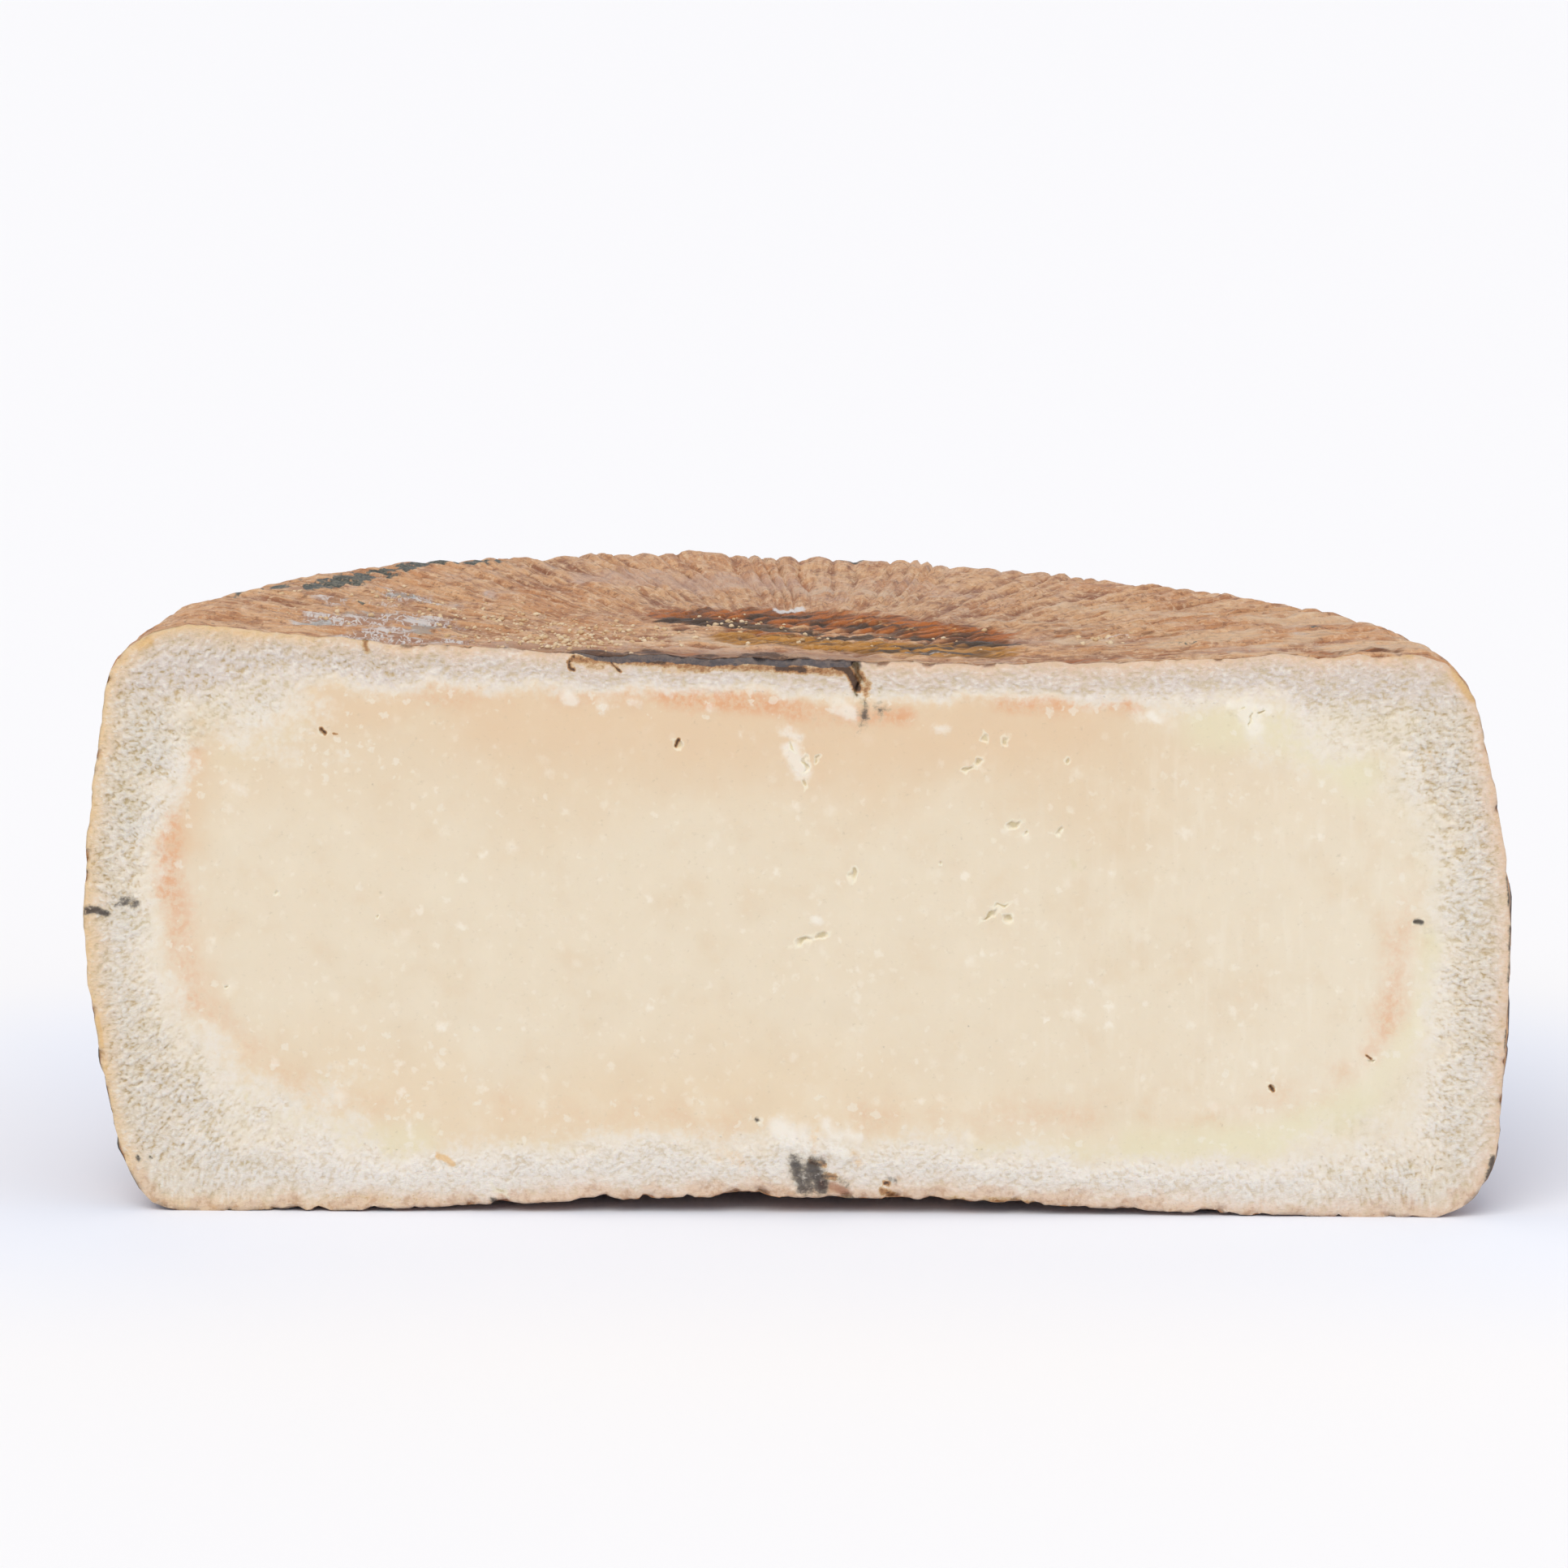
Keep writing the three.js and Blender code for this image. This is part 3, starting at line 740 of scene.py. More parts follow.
cutMarks = {
    "salmon": [
        ([(-127, 97.3), (-130, 90.2), (-131, 82.1)], 2.8, 0.55),
        ([(-132, 84.1), (-132.5, 68.9)], 3.2, 1.0),
        ([(-131, 67.9), (-129, 55.8), (-127, 45.6)], 4.4, 0.7),
        ([(-127, 47.6), (-122, 39.5), (-116, 34.5)], 4.4, 0.5),
        ([(-116, 33.5), (-104, 25.3), (-88, 22.3)], 5.0, 0.3), ([(-80, 110.8), (-62, 110.7)], 3.6, 0.4),
        ([(-50, 111.1), (-27, 111.4)], 3.2, 0.45), ([(-28, 111.2), (-14, 109.9), (0, 108.3)], 2.5, 1.1),
        ([(0, 108.1), (12, 107)], 2.2, 0.7), ([(13, 107.2), (23, 107)], 2.2, 1.0),
        ([(43, 109.4), (58, 110.1), (71, 110.2)], 2.4, 0.9), ([(128, 69.9), (127, 57.8)], 4.2, 0.4),
        ([(127, 57.8), (126, 45.6), (121, 35.5)], 3.8, 0.6),
        ([(121, 35.5), (112, 26.4), (98, 24.3)], 4.6, 0.34), ([(98, 23.3), (76, 20.3)], 4.6, 0.26),
        ([(-66, 22.9), (-40, 21.3), (-14, 20.7)], 4.4, 0.34),
        ([(12, 21.6), (40, 21.3), (60, 21.9)], 4.6, 0.36),
    ],
    "peach": [
        ([(-64, 107), (-36, 105), (-6, 103), (30, 104), (58, 107)], 11.0, 0.95),
        ([(-24, 101), (16, 96)], 13.0, 0.6), ([(-118, 107), (-84, 108.5)], 5.5, 0.8),
        ([(-128, 97), (-130, 80)], 5.0, 0.9), ([(-127, 60), (-124, 44)], 5.0, 0.5),
    ],
    "mould": [
        ([(-149.6, 64.7), (-147.6, 64.8), (-145.4, 64)], 0.9, 1.1),
        ([(-141.8, 67.1), (-139.4, 66.1)], 1.5, 0.66), ([(-143.4, 65.9), (-139.0, 66.5)], 0.7, 0.7),
        ([(0.1, 10.5), (0.8, 7.7), (1.7, 5.7)], 1.8, 0.95), ([(2.4, 9.5), (3.0, 6.1)], 1.9, 0.85),
        ([(3.7, 10.5), (4.6, 8.3), (5.4, 5.9)], 1.9, 1.15),
        ([(5.2, 9), (8.0, 8), (10.6, 6.5)], 1.1, 0.5), ([(-0.8, 12.2), (1.2, 11.6)], 1.5, 0.55),
        ([(3.2, 12.1), (5.8, 11.4)], 1.1, 0.6), ([(17.5, 109.4), (17.2, 108.7)], 0.9, 0.85),
        ([(13.7, 107.2), (14.0, 105.4)], 1.0, 1.0), ([(14.2, 110.1), (13.8, 107.5)], 0.5, 0.7),
        ([(131.3, 63.8), (130.0, 63.9)], 0.6, 1.3), ([(-8.3, 20.6), (-8.2, 20.4)], 0.45, 1.1),
        ([(-64.2, 2.6), (-63.2, 2)], 0.9, 0.9), ([(36, 0.9), (42, 0.3), (48, 0.2)], 0.9, 0.9),
        ([(20, 7.7), (21.4, 7.3)], 0.6, 0.7), ([(-139.4, 11.4), (-139.2, 11.2)], 0.6, 1.0),
        ([(-136.8, 11.4), (-136.6, 11.4)], 0.4, 0.9), ([(57, 1.6), (61, 0.9)], 0.8, 0.6),
        ([(64, 1.2), (70, 0.6)], 0.6, 0.5), ([(149.6, 75), (150.2, 67.5)], 0.8, 1.3),
        ([(150.7, 63), (150.9, 57), (150.6, 51.5)], 0.9, 1.4), ([(150.3, 41), (150.0, 36)], 0.6, 1.1),
        ([(147.8, 13), (146.6, 8)], 0.7, 1.1),
    ],
    "stain": [
        ([(-46.9, 119.2), (-48.0, 117.9), (-47.7, 116.6), (-46.9, 116.4)], 0.5, 1.0),
        ([(-39.4, 119.2), (-38.9, 117.6), (-37.2, 116.0)], 0.4, 0.95),
        ([(-31.2, 118.5), (-28.5, 118.3)], 1.2, 1.1), ([(-4.5, 117), (1.2, 116.6)], 1.1, 1.0),
        ([(7.4, 117.6), (10.4, 116.6), (12.4, 112.7)], 0.95, 1.3),
        ([(-47, 118.6), (-32, 118.2), (-16, 117.4), (-2, 116.8), (9, 116.2)], 1.3, 0.66),
        ([(-44, 117.4), (-41, 117)], 1.0, 0.5), ([(-25, 117.2), (-19, 116.5)], 1.2, 0.6),
        ([(12.6, 116.1), (14.4, 113.7), (14.2, 111.1)], 1.1, 0.6),
        ([(-90.6, 122.3), (-90.0, 120)], 0.9, 0.6), ([(18.9, 6.9), (19.8, 6.7)], 0.6, 1.0),
        ([(18.6, 5.1), (20.4, 4.1)], 1.2, 0.72), ([(33.0, 3.4), (35.4, 3.2)], 1.0, 0.6),
        ([(6.4, 8.3), (8.2, 8.1)], 0.8, 0.9), ([(3.2, 11.4), (6.2, 10.7)], 0.8, 0.7),
        ([(40.5, 3.2), (50, 2.4)], 1.2, 0.6), ([(-99.7, 103.6), (-99.0, 102.8)], 0.6, 0.9),
        ([(-97.2, 102.6), (-95.8, 102.4), (-95.4, 103.8)], 0.3, 0.7),
        ([(-25.6, 100.4), (-25.0, 101.8)], 0.5, 0.9), ([(100.2, 28.3), (100.9, 27.4)], 0.5, 1.0),
        ([(120.4, 35.1), (121.4, 34.3)], 0.35, 0.9), ([(-6, 2.4), (10, 1.4)], 1.6, 0.35),
        ([(-100, 3.2), (-70, 2.2)], 1.4, 0.3),
    ],
    "rustCut": [
        ([(3.4, 117.8), (5.2, 116.9), (7.0, 117)], 1.1, 1.2),
        ([(5.8, 6.5), (8.4, 5.9), (10.8, 4.8)], 1.3, 1.0), ([(-6.5, 8.1), (-3.2, 4.3)], 1.2, 0.4),
        ([(5.5, 12.6), (7.4, 12)], 1.2, 0.45), ([(42, 3.4), (48, 3)], 1.0, 0.5),
        ([(-22, 117.8), (-18, 117.4)], 0.9, 0.6),
    ],
    "chalk": [
        ([(-3.5, 18.8), (-1.5, 15.7), (0.5, 13.2)], 3.0, 1.0), ([(1.6, 19.8), (1.4, 16.2)], 1.8, 0.7),
        ([(6.6, 19.9), (8.6, 17.6)], 2.0, 1.0), ([(11.6, 18), (13.4, 16.6)], 1.6, 1.0),
        ([(7.6, 15), (8.8, 13.8)], 1.4, 0.9), ([(10.2, 13.3), (10.8, 12.8)], 1.4, 1.3),
        ([(8.0, 109.1), (11.0, 107.5)], 2.0, 1.1), ([(-1.5, 99.9), (0.8, 95.3)], 2.6, 1.0),
        ([(93.4, 108.9), (95.4, 104.9)], 2.8, 1.0), ([(90.0, 109.9), (98.5, 108.9)], 1.6, 0.8),
        ([(-48.2, 110.7), (-47.4, 109.9)], 1.9, 1.1), ([(-41.2, 108.9), (-40.6, 108.5)], 1.7, 0.9),
        ([(-35.0, 109.7), (-33.2, 109.3)], 1.5, 0.7), ([(-18.6, 108.9), (-18.0, 108.3)], 1.7, 0.7),
        ([(-118, 91.2), (-116, 90.2)], 1.6, 0.7), ([(-12, 103), (-8, 102)], 1.4, 0.6),
        ([(-3, 103.8), (0, 102.4)], 2.0, 0.8), ([(28.5, 104.4), (31, 104)], 1.6, 0.8),
        ([(70, 107.9), (76, 106.4)], 1.8, 0.8), ([(-57, 106.9), (-56, 105.4)], 1.2, 0.6),
        ([(-64.2, 101), (-63.6, 99.7)], 1.0, 0.7), ([(-53.6, 62.4), (-53.4, 59.4)], 0.8, 0.9),
        ([(-101, 80.7), (-100, 79.9)], 1.2, 0.6), ([(3.0, 64.5), (4.4, 63.3)], 1.4, 0.9),
        ([(61, 51.7), (63, 49.7)], 1.4, 0.6), ([(-82, 19.9), (-81, 15.2)], 1.2, 0.7),
        ([(107, 44.6), (108, 42.6)], 1.0, 0.8),
    ],
    "amber": [
        ([(-137.4, 120.8), (-135.6, 121.8)], 1.4, 0.9),
        ([(137.4, 117), (139.4, 114.1), (140.8, 111.9)], 1.8, 1.2),
        ([(107, 120.6), (113, 120.4)], 1.2, 0.9), ([(123, 120.8), (128, 120.5)], 1.0, 0.9),
        ([(-75.8, 12.1), (-74.2, 11.6), (-72.6, 10.4)], 0.7, 1.4),
        ([(-47.6, 118), (-47.4, 116.8)], 0.7, 0.9), ([(12.2, 13.2), (13.6, 10.5)], 1.6, 0.55),
        ([(-15, 12.4), (-12, 11.8), (-10, 10.7)], 2.2, 0.5),
        ([(4.3, 20.3), (3.8, 16.6), (4.1, 13.7)], 1.1, 0.5), ([(-41, 118.6), (-37, 118.2)], 1.1, 0.6),
        ([(-44.6, 117.5), (-41.6, 117)], 1.2, 0.6), ([(-31, 116.6), (-24, 116)], 1.2, 0.5),
        ([(-130, 125.1), (-112, 125.3)], 1.0, 0.5), ([(-116, 123.3), (-106, 123.1)], 0.9, 0.45),
        ([(132, 100.4), (133, 97.3)], 0.9, 0.5), ([(-147.4, 41.6), (-146.6, 35.5)], 0.8, 0.8),
    ],
    "olive": [
        ([(-126, 104.4), (-110, 112.5)], 6.0, 0.7), ([(-136, 98.3), (-141, 84.1)], 6.0, 0.6),
        ([(122, 98.3), (134, 80.1), (138, 61.8)], 8.0, 0.55), ([(112, 108.5), (128, 104.4)], 6.0, 0.7),
        ([(-137.4, 61.2), (-139.6, 61.8), (-141.8, 63.3)], 2.2, 1.0),
        ([(130, 29.4), (118, 19.3)], 6.0, 0.5), ([(-135, 39.5), (-120, 19.3)], 8.0, 0.5),
        ([(16.2, 113.3), (18.4, 111.5)], 1.7, 0.9), ([(34, 3.4), (37, 3)], 1.8, 0.8),
        ([(-70, 13.2), (-20, 13.2)], 4.0, 0.3), ([(13.0, 111.1), (13.6, 109.1)], 1.0, 0.8),
        ([(40.4, 102.6), (41.6, 101.4)], 1.8, 0.35), ([(112, 10.7), (115, 9.5)], 1.4, 1.0),
        ([(128.6, 10.5), (130.2, 10.9)], 1.0, 0.9), ([(-125.4, 20.7), (-124.8, 16.8)], 0.9, 0.9),
        ([(-116.8, 9.7), (-113.8, 11.4)], 1.4, 0.8),
    ],
    "lemon": [
        ([(-118, 23.3), (-100, 16.2), (-80, 14.2)], 6.0, 0.8),
        ([(72, 15.2), (100, 16.2), (120, 25.3)], 5.5, 0.9),
        ([(120, 25.3), (133, 43.6), (134, 59.8)], 4.5, 0.7),
        ([(84, 105.4), (104, 103.4), (118, 94.3)], 6.0, 0.9), ([(-118, 96.3), (-104, 105.4)], 5.0, 0.4),
        ([(-60, 13.2), (-20, 12.2)], 3.5, 0.4), ([(20, 13.2), (70, 14.2)], 3.6, 0.6),
    ],
}

# The grey layer at the top edge of the cut: from x, to x, how deep it reaches.
greyEdge = {"from": -50.0, "to": 13.5, "depth": 1.7, "taper": 14.0, "above": 100.0}


def strokesAt(x, z, strokes):
    field = np.zeros_like(x)
    for path, width, strength in strokes:
        field = np.maximum(field, strength * np.exp(-(toPath(x, z, path) / width) ** 2))
    return field


def markCut(piece, path):
    points = readPoints(piece.data)
    x, z = points[:, 0], points[:, 2]
    depth = toPath(x, z, path)
    keepAttribute(piece.data, "depth", depth)
    keepAttribute(piece.data, "share", depth / crumbDepthAt(x, z))
    for name, strokes in cutMarks.items():
        keepAttribute(piece.data, name, strokesAt(x, z, strokes))
    taper = smooth(greyEdge["from"], greyEdge["from"] + greyEdge["taper"], x)
    reach = greyEdge["depth"] * taper * (1 - smooth(greyEdge["to"] - 4, greyEdge["to"], x))
    reach = reach * (z > greyEdge["above"])
    keepAttribute(piece.data, "greyEdge", np.clip((reach - depth) / np.maximum(reach, 0.4), 0, 1))


topMarksFrom = (104, 112)   # the marks of the top fade out between these heights
rindMarks = {
    "darkMould": [
        ([(-105, 60), (-98, 73), (-92, 82)], 4.4, 0.95), ([(-88, 90), (-80, 99), (-71, 105)], 3.6, 1.1),
        ([(-122, 42), (-110, 66)], 2.0, 0.6), ([(-103, 64), (-100, 66)], 2.2, 0.55),
        ([(-98, 74), (-90, 82)], 4.0, 0.5), ([(9, 129), (14, 129)], 2.2, 1.0),
        ([(-94, 43), (-92, 43)], 1.6, 1.0), ([(111, 41), (113, 41)], 1.4, 0.8),
        ([(82, 22), (84, 21)], 1.6, 0.6),
    ],
    "veil": [
        ([(-98, 22), (-88, 30), (-80, 28)], 8.0, 1.1), ([(-92, 3), (-86, 14)], 5.0, 1.1),
        ([(-84, 5), (-72, 8)], 4.5, 0.9), ([(-88, 58), (-82, 56)], 5.0, 0.9),
        ([(-102, 44), (-88, 46)], 4.0, 0.6),
    ],
    "white": [
        ([(-4, 66), (0, 68)], 2.0, 1.1), ([(-17, 49), (-15, 50)], 0.8, 1.0),
        ([(22, 14), (32, 12)], 1.3, 0.45), ([(66, 33), (70, 34)], 2.2, 0.6),
    ],
    "blueMould": [
        ([(-104, 12), (-101, 18)], 3.0, 1.1), ([(-80, 16), (-78, 26)], 3.4, 1.0),
        ([(-88, 59), (-85, 59)], 3.6, 0.8), ([(-96, 34), (-94, 34)], 3.0, 0.7),
        ([(92, 8), (94, 8)], 2.6, 0.7), ([(-102, 50), (-99, 50)], 2.6, 0.7),
    ],
    "mauve": [
        ([(-44, 94), (-24, 96), (-6, 98)], 11.0, 1.0), ([(-6, 94), (10, 82)], 11.0, 0.6),
        ([(10, 98), (40, 92)], 12.0, 0.6), ([(-72, 6), (-50, 8)], 5.0, 0.9),
        ([(88, 12), (98, 12)], 8.0, 0.8), ([(-50, 9), (-20, 12), (14, 5)], 4.0, 0.7),
        ([(50, 30), (74, 26)], 10.0, 0.6), ([(-66, 70), (-58, 74)], 6.0, 0.4),
        ([(14, 4), (60, 3)], 3.5, 0.6),
    ],
    "rust": [
        ([(-24, 56), (-12, 58), (4, 58), (20, 52), (31, 44), (38, 36)], 8.6, 1.4),
        ([(-14, 40), (6, 36)], 5.0, 0.7), ([(-29, 4), (-23, 5)], 2.6, 1.2),
        ([(92, 6), (126, 5)], 3.6, 0.5), ([(50, 3), (68, 5)], 3.0, 0.6),
        ([(48, 38), (84, 34)], 9.0, 0.4),
    ],
    "ochre": [
        ([(-9, 29), (6, 24), (24, 20), (37, 18)], 9.5, 1.3),
    ],
    "dash": [
        ([(-27, 51), (-15, 49), (-4, 44)], 5.5, 0.95), ([(-5, 43), (4, 42)], 3.0, 1.25),
        ([(9, 37), (16, 36)], 3.2, 1.25), ([(16, 37), (26, 35)], 3.0, 1.1),
        ([(18, 15), (36, 13)], 2.0, 1.0), ([(36, 29), (46, 26)], 2.6, 1.2),
        ([(4, 55), (24, 47)], 3.0, 0.75), ([(22, 22), (31, 20)], 2.2, 1.1),
        ([(-12, 60), (2, 61)], 2.6, 0.7),
    ],
    "shade": [
        ([(-60, 3), (-20, 4), (12, 4)], 6.0, 1.0), ([(20, 3), (64, 3)], 3.0, 0.5),
    ],
    "pale": [
        ([(60, 4), (110, 3)], 4.0, 0.6), ([(116, 8), (136, 14)], 8.0, 1.1),
        ([(98, 14), (114, 34)], 5.0, 0.8), ([(104, 52), (124, 50)], 12.0, 0.8),
        ([(58, 30), (66, 26)], 6.0, 0.9), ([(78, 20), (96, 30)], 7.0, 0.9),
        ([(60, 70), (84, 60)], 9.0, 0.7), ([(-10, 90), (24, 88)], 8.0, 0.5),
        ([(120, 14), (130, 24)], 6.0, 0.8), ([(-24, 27), (-12, 17)], 5.0, 1.0),
        ([(40, 60), (70, 44)], 8.0, 0.5), ([(-60, 18), (-34, 20)], 8.0, 0.5),
    ],
    "cutStain": [
        ([(-46, 2), (-30, 5)], 3.0, 1.0), ([(-22, 3), (-18, 3)], 2.4, 0.9),
        ([(-11, 3), (-5, 3)], 2.6, 1.0), ([(-48, 0.4), (13, 0.4)], 1.6, 1.0),
    ],
}


def markRind(piece):
    # the marks of the top, in x and y; the side and base have theirs from the finish itself
    points = readPoints(piece.data)
    above = smooth(*topMarksFrom, points[:, 2])
    for name, strokes in rindMarks.items():
        keepAttribute(piece.data, name, strokesAt(points[:, 0], points[:, 1], strokes) * above)


# Loose grains of dried crumb that lie on the top, thickest in front of the knot.
looseCrumbs = {
    "fields": [((-54, 14), (15, 9), 150), ((-64, 36), (18, 13), 90), ((-42, 30), (18, 14), 110),
               ((-84, 50), (16, 13), 40), ((-14, 48), (14, 8), 36), ((18, 30), (26, 12), 26),
               ((66, 32), (7, 5), 26), ((-100, 32), (18, 18), 30)],
    "size": (0.26, 0.8),            # half width of a grain
    "shape": (1.0, 0.8, 0.62),      # how long, wide and high a grain is
    "sunk": 0.36,                   # share of its height that is below the rind
    "fromCut": 2.0,                 # none lie nearer the cut or the rim than this
    "fromRim": 24.0,
    "dropFrom": 200.0,              # height
    "shapes": 5,
    "seed": 11,
}


def modelGrain(index):
    # an angular grain, its points pushed in and out by noise of its own
    deselectAll()
    bpy.ops.mesh.primitive_ico_sphere_add(subdivisions=2, radius=1)
    grain = bpy.context.object
    points = readPoints(grain.data)
    lumps = 1 + 0.34 * noiseAt(points, 0.9, 40.0 + index) + 0.12 * noiseAt(points, 0.4, 50.0 + index)
    writePoints(grain.data, points * lumps[:, None] * looseCrumbs["shape"])
    return grain


def layGrain(shape, spotOn, size, turn, lean, tone):
    grain = shape.copy()
    grain.data = shape.data.copy()
    bpy.context.collection.objects.link(grain)
    halfHeight = size * looseCrumbs["shape"][2]
    grain.location = spotOn + Vector((0, 0, halfHeight * (1 - 2 * looseCrumbs["sunk"])))
    grain.rotation_euler = (lean, 0, turn)
    grain.scale = (size, size, size)
    keepAttribute(grain.data, "tone", np.full(len(grain.data.vertices), tone))
    return grain


def strewCrumbs(rind):
    draw = np.random.default_rng(looseCrumbs["seed"])
    shapes = [modelGrain(index) for index in range(looseCrumbs["shapes"])]
    smallest, largest = looseCrumbs["size"]
    bpy.context.view_layer.update()
    grains = []
    for place, spread, count in looseCrumbs["fields"]:
        for _ in range(count):
            x, y = draw.normal(place, np.array(spread) / 1.6)
            turn, lean, tone = draw.uniform(0, math.tau), draw.uniform(-0.4, 0.4), draw.random()
            size = blend(smallest, largest, draw.random() ** 2)
            shape = shapes[draw.integers(len(shapes))]
            if y < looseCrumbs["fromCut"] or math.hypot(x, y) > wheel["radius"] - looseCrumbs["fromRim"]:
                continue
            above = Vector((x, y, looseCrumbs["dropFrom"]))
            found, spotOn, _, _ = rind.ray_cast(above, Vector((0, 0, -1)))
            if found:
                grains.append(layGrain(shape, spotOn, size, turn, lean, tone))
    deselectAll()
    for shape in shapes:
        bpy.data.objects.remove(shape)
    for grain in grains:
        grain.select_set(True)
    bpy.context.view_layer.objects.active = grains[0]
    bpy.ops.object.join()
    bpy.ops.object.transform_apply(location=True, rotation=True, scale=True)
    crumbs = bpy.context.object
    crumbs.name = crumbs.data.name = "cheese_crumbs"
    return crumbs


def settle(piece):
    # from millimetres about the wheel's axis to metres in the part's own place, within its box
    points = readPoints(piece.data) * millimetre + np.array(wheelPlace)
    writePoints(piece.data, np.clip(points, cadLow, cadHigh))


# Small helpers for the finishes.

def srgb(red, green, blue):
    shares = np.array([red, green, blue]) / 255
    linear = np.where(shares <= 0.04045, shares / 12.92, ((shares + 0.055) / 1.055) ** 2.4)
    return (*[round(float(value), 4) for value in linear], 1.0)


def mixed(tones):
    return {name: srgb(*tone) for name, tone in tones.items()}


def addNode(tree, kind, inputs=None, **settings):
    node = tree.nodes.new(kind)
    for name, value in settings.items():
        setattr(node, name, value)
    for key, value in (inputs or {}).items():
        if isinstance(value, bpy.types.NodeSocket):
            tree.links.new(value, node.inputs[key])
        else:
            node.inputs[key].default_value = value
    return node


def maths(tree, operation, a, b=0.0, c=0.0):
    return addNode(tree, "ShaderNodeMath", {0: a, 1: b, 2: c}, operation=operation).outputs[0]


def times(tree, product, *factors):
    for factor in factors:
        product = maths(tree, "MULTIPLY", product, factor)
    return product


def fade(tree, value, low, high, lowest=0.0, highest=1.0):
    return addNode(tree, "ShaderNodeMapRange", {0: value, 1: low, 2: high, 3: lowest, 4: highest},
                   interpolation_type="SMOOTHSTEP").outputs[0]


def paint(tree, share, under, over):
    return addNode(tree, "ShaderNodeMix", {0: share, 6: under, 7: over}, data_type="RGBA").outputs[2]


def glaze(tree, colour, tone, *shares):
    # a tone over the colour, as strong as all its shares multiplied
    return paint(tree, times(tree, *shares), colour, tone)


def marked(tree, name):
    return addNode(tree, "ShaderNodeAttribute", attribute_name=name).outputs["Fac"]


def inMillimetres(tree, stretch=(1, 1, 1), turn=(0.0, 0.0, 0.0)):
    # object coordinates in millimetres, turned and then stretched
    place = addNode(tree, "ShaderNodeTexCoord").outputs["Object"]
    turned = addNode(tree, "ShaderNodeMapping", {0: place, 2: turn}).outputs[0]
    scale = tuple(1000 / value for value in stretch)
    return addNode(tree, "ShaderNodeVectorMath", {0: turned, 1: scale}, operation="MULTIPLY").outputs[0]


def noiseNode(tree, place, size, detail, rough=0.5):
    return addNode(tree, "ShaderNodeTexNoise", {
        "Vector": place, "Scale": 1 / size, "Detail": detail, "Roughness": rough})


def noiseOf(tree, place, size, detail, rough=0.5):
    return noiseNode(tree, place, size, detail, rough).outputs[0]


def stretchedNoise(tree, stretch, detail, rough, turn=(0.0, 0.0, 0.0)):
    return noiseOf(tree, inMillimetres(tree, stretch, turn), 1.0, detail, rough)


def blendOf(tree, share, under, over):
    return maths(tree, "MULTIPLY_ADD", maths(tree, "SUBTRACT", over, under), share, under)


def pushed(tree, field, grain, amount):
    # a field pushed up and down by noise
    return maths(tree, "MULTIPLY_ADD", maths(tree, "SUBTRACT", grain, 0.5), amount, field)


def ragged(tree, name, grain, low, high, rough):
    # a mark given an uneven edge
    return fade(tree, pushed(tree, marked(tree, name), grain, rough), low, high)


def newFinish(name, roughness, specular):
    material = bpy.data.materials.new(name)
    material.use_nodes = True
    tree = material.node_tree
    shader = tree.nodes["Principled BSDF"]
    shader.inputs["Roughness"].default_value = roughness
    shader.inputs["Specular IOR Level"].default_value = specular
    return material, tree, shader


def finishWith(tree, shader, colour, height, grainHeight, strength):
    bump = addNode(tree, "ShaderNodeBump", {
        "Strength": strength, "Distance": grainHeight, "Height": height}).outputs[0]
    tree.links.new(colour, shader.inputs["Base Color"])
    tree.links.new(bump, shader.inputs["Normal"])


def letLightIn(shader, weight, reach, depth):
    shader.inputs["Subsurface Weight"].default_value = weight
    shader.inputs["Subsurface Radius"].default_value = reach
    shader.inputs["Subsurface Scale"].default_value = depth


def warped(tree, place, size, amount):
    # the same place, pushed about by soft noise
    push = noiseNode(tree, place, size, 2.0).outputs["Color"]
    centred = addNode(tree, "ShaderNodeVectorMath", {0: push, 1: (0.5, 0.5, 0.5)},
                      operation="SUBTRACT").outputs[0]
    return addNode(tree, "ShaderNodeVectorMath", {0: centred, 1: (amount,) * 3, 2: place},
                   operation="MULTIPLY_ADD").outputs[0]


def specksOf(tree, place, size, radius, softness=0.1):
    # rounded specks, one at most in each cell and many cells with none
    cells = addNode(tree, "ShaderNodeTexVoronoi", {"Vector": place, "Scale": 1 / size}).outputs
    chance = addNode(tree, "ShaderNodeSeparateColor", {0: cells["Color"]}).outputs[0]
    reach = times(tree, fade(tree, chance, 0.2, 1.0), radius)
    edge = maths(tree, "SUBTRACT", cells["Distance"], reach)
    speck = times(tree, fade(tree, edge, softness, -softness * 0.6), fade(tree, chance, 0.2, 0.6))
    return speck, chance


# The finish of the cut. Tones are red, green and blue from 0 to 255.

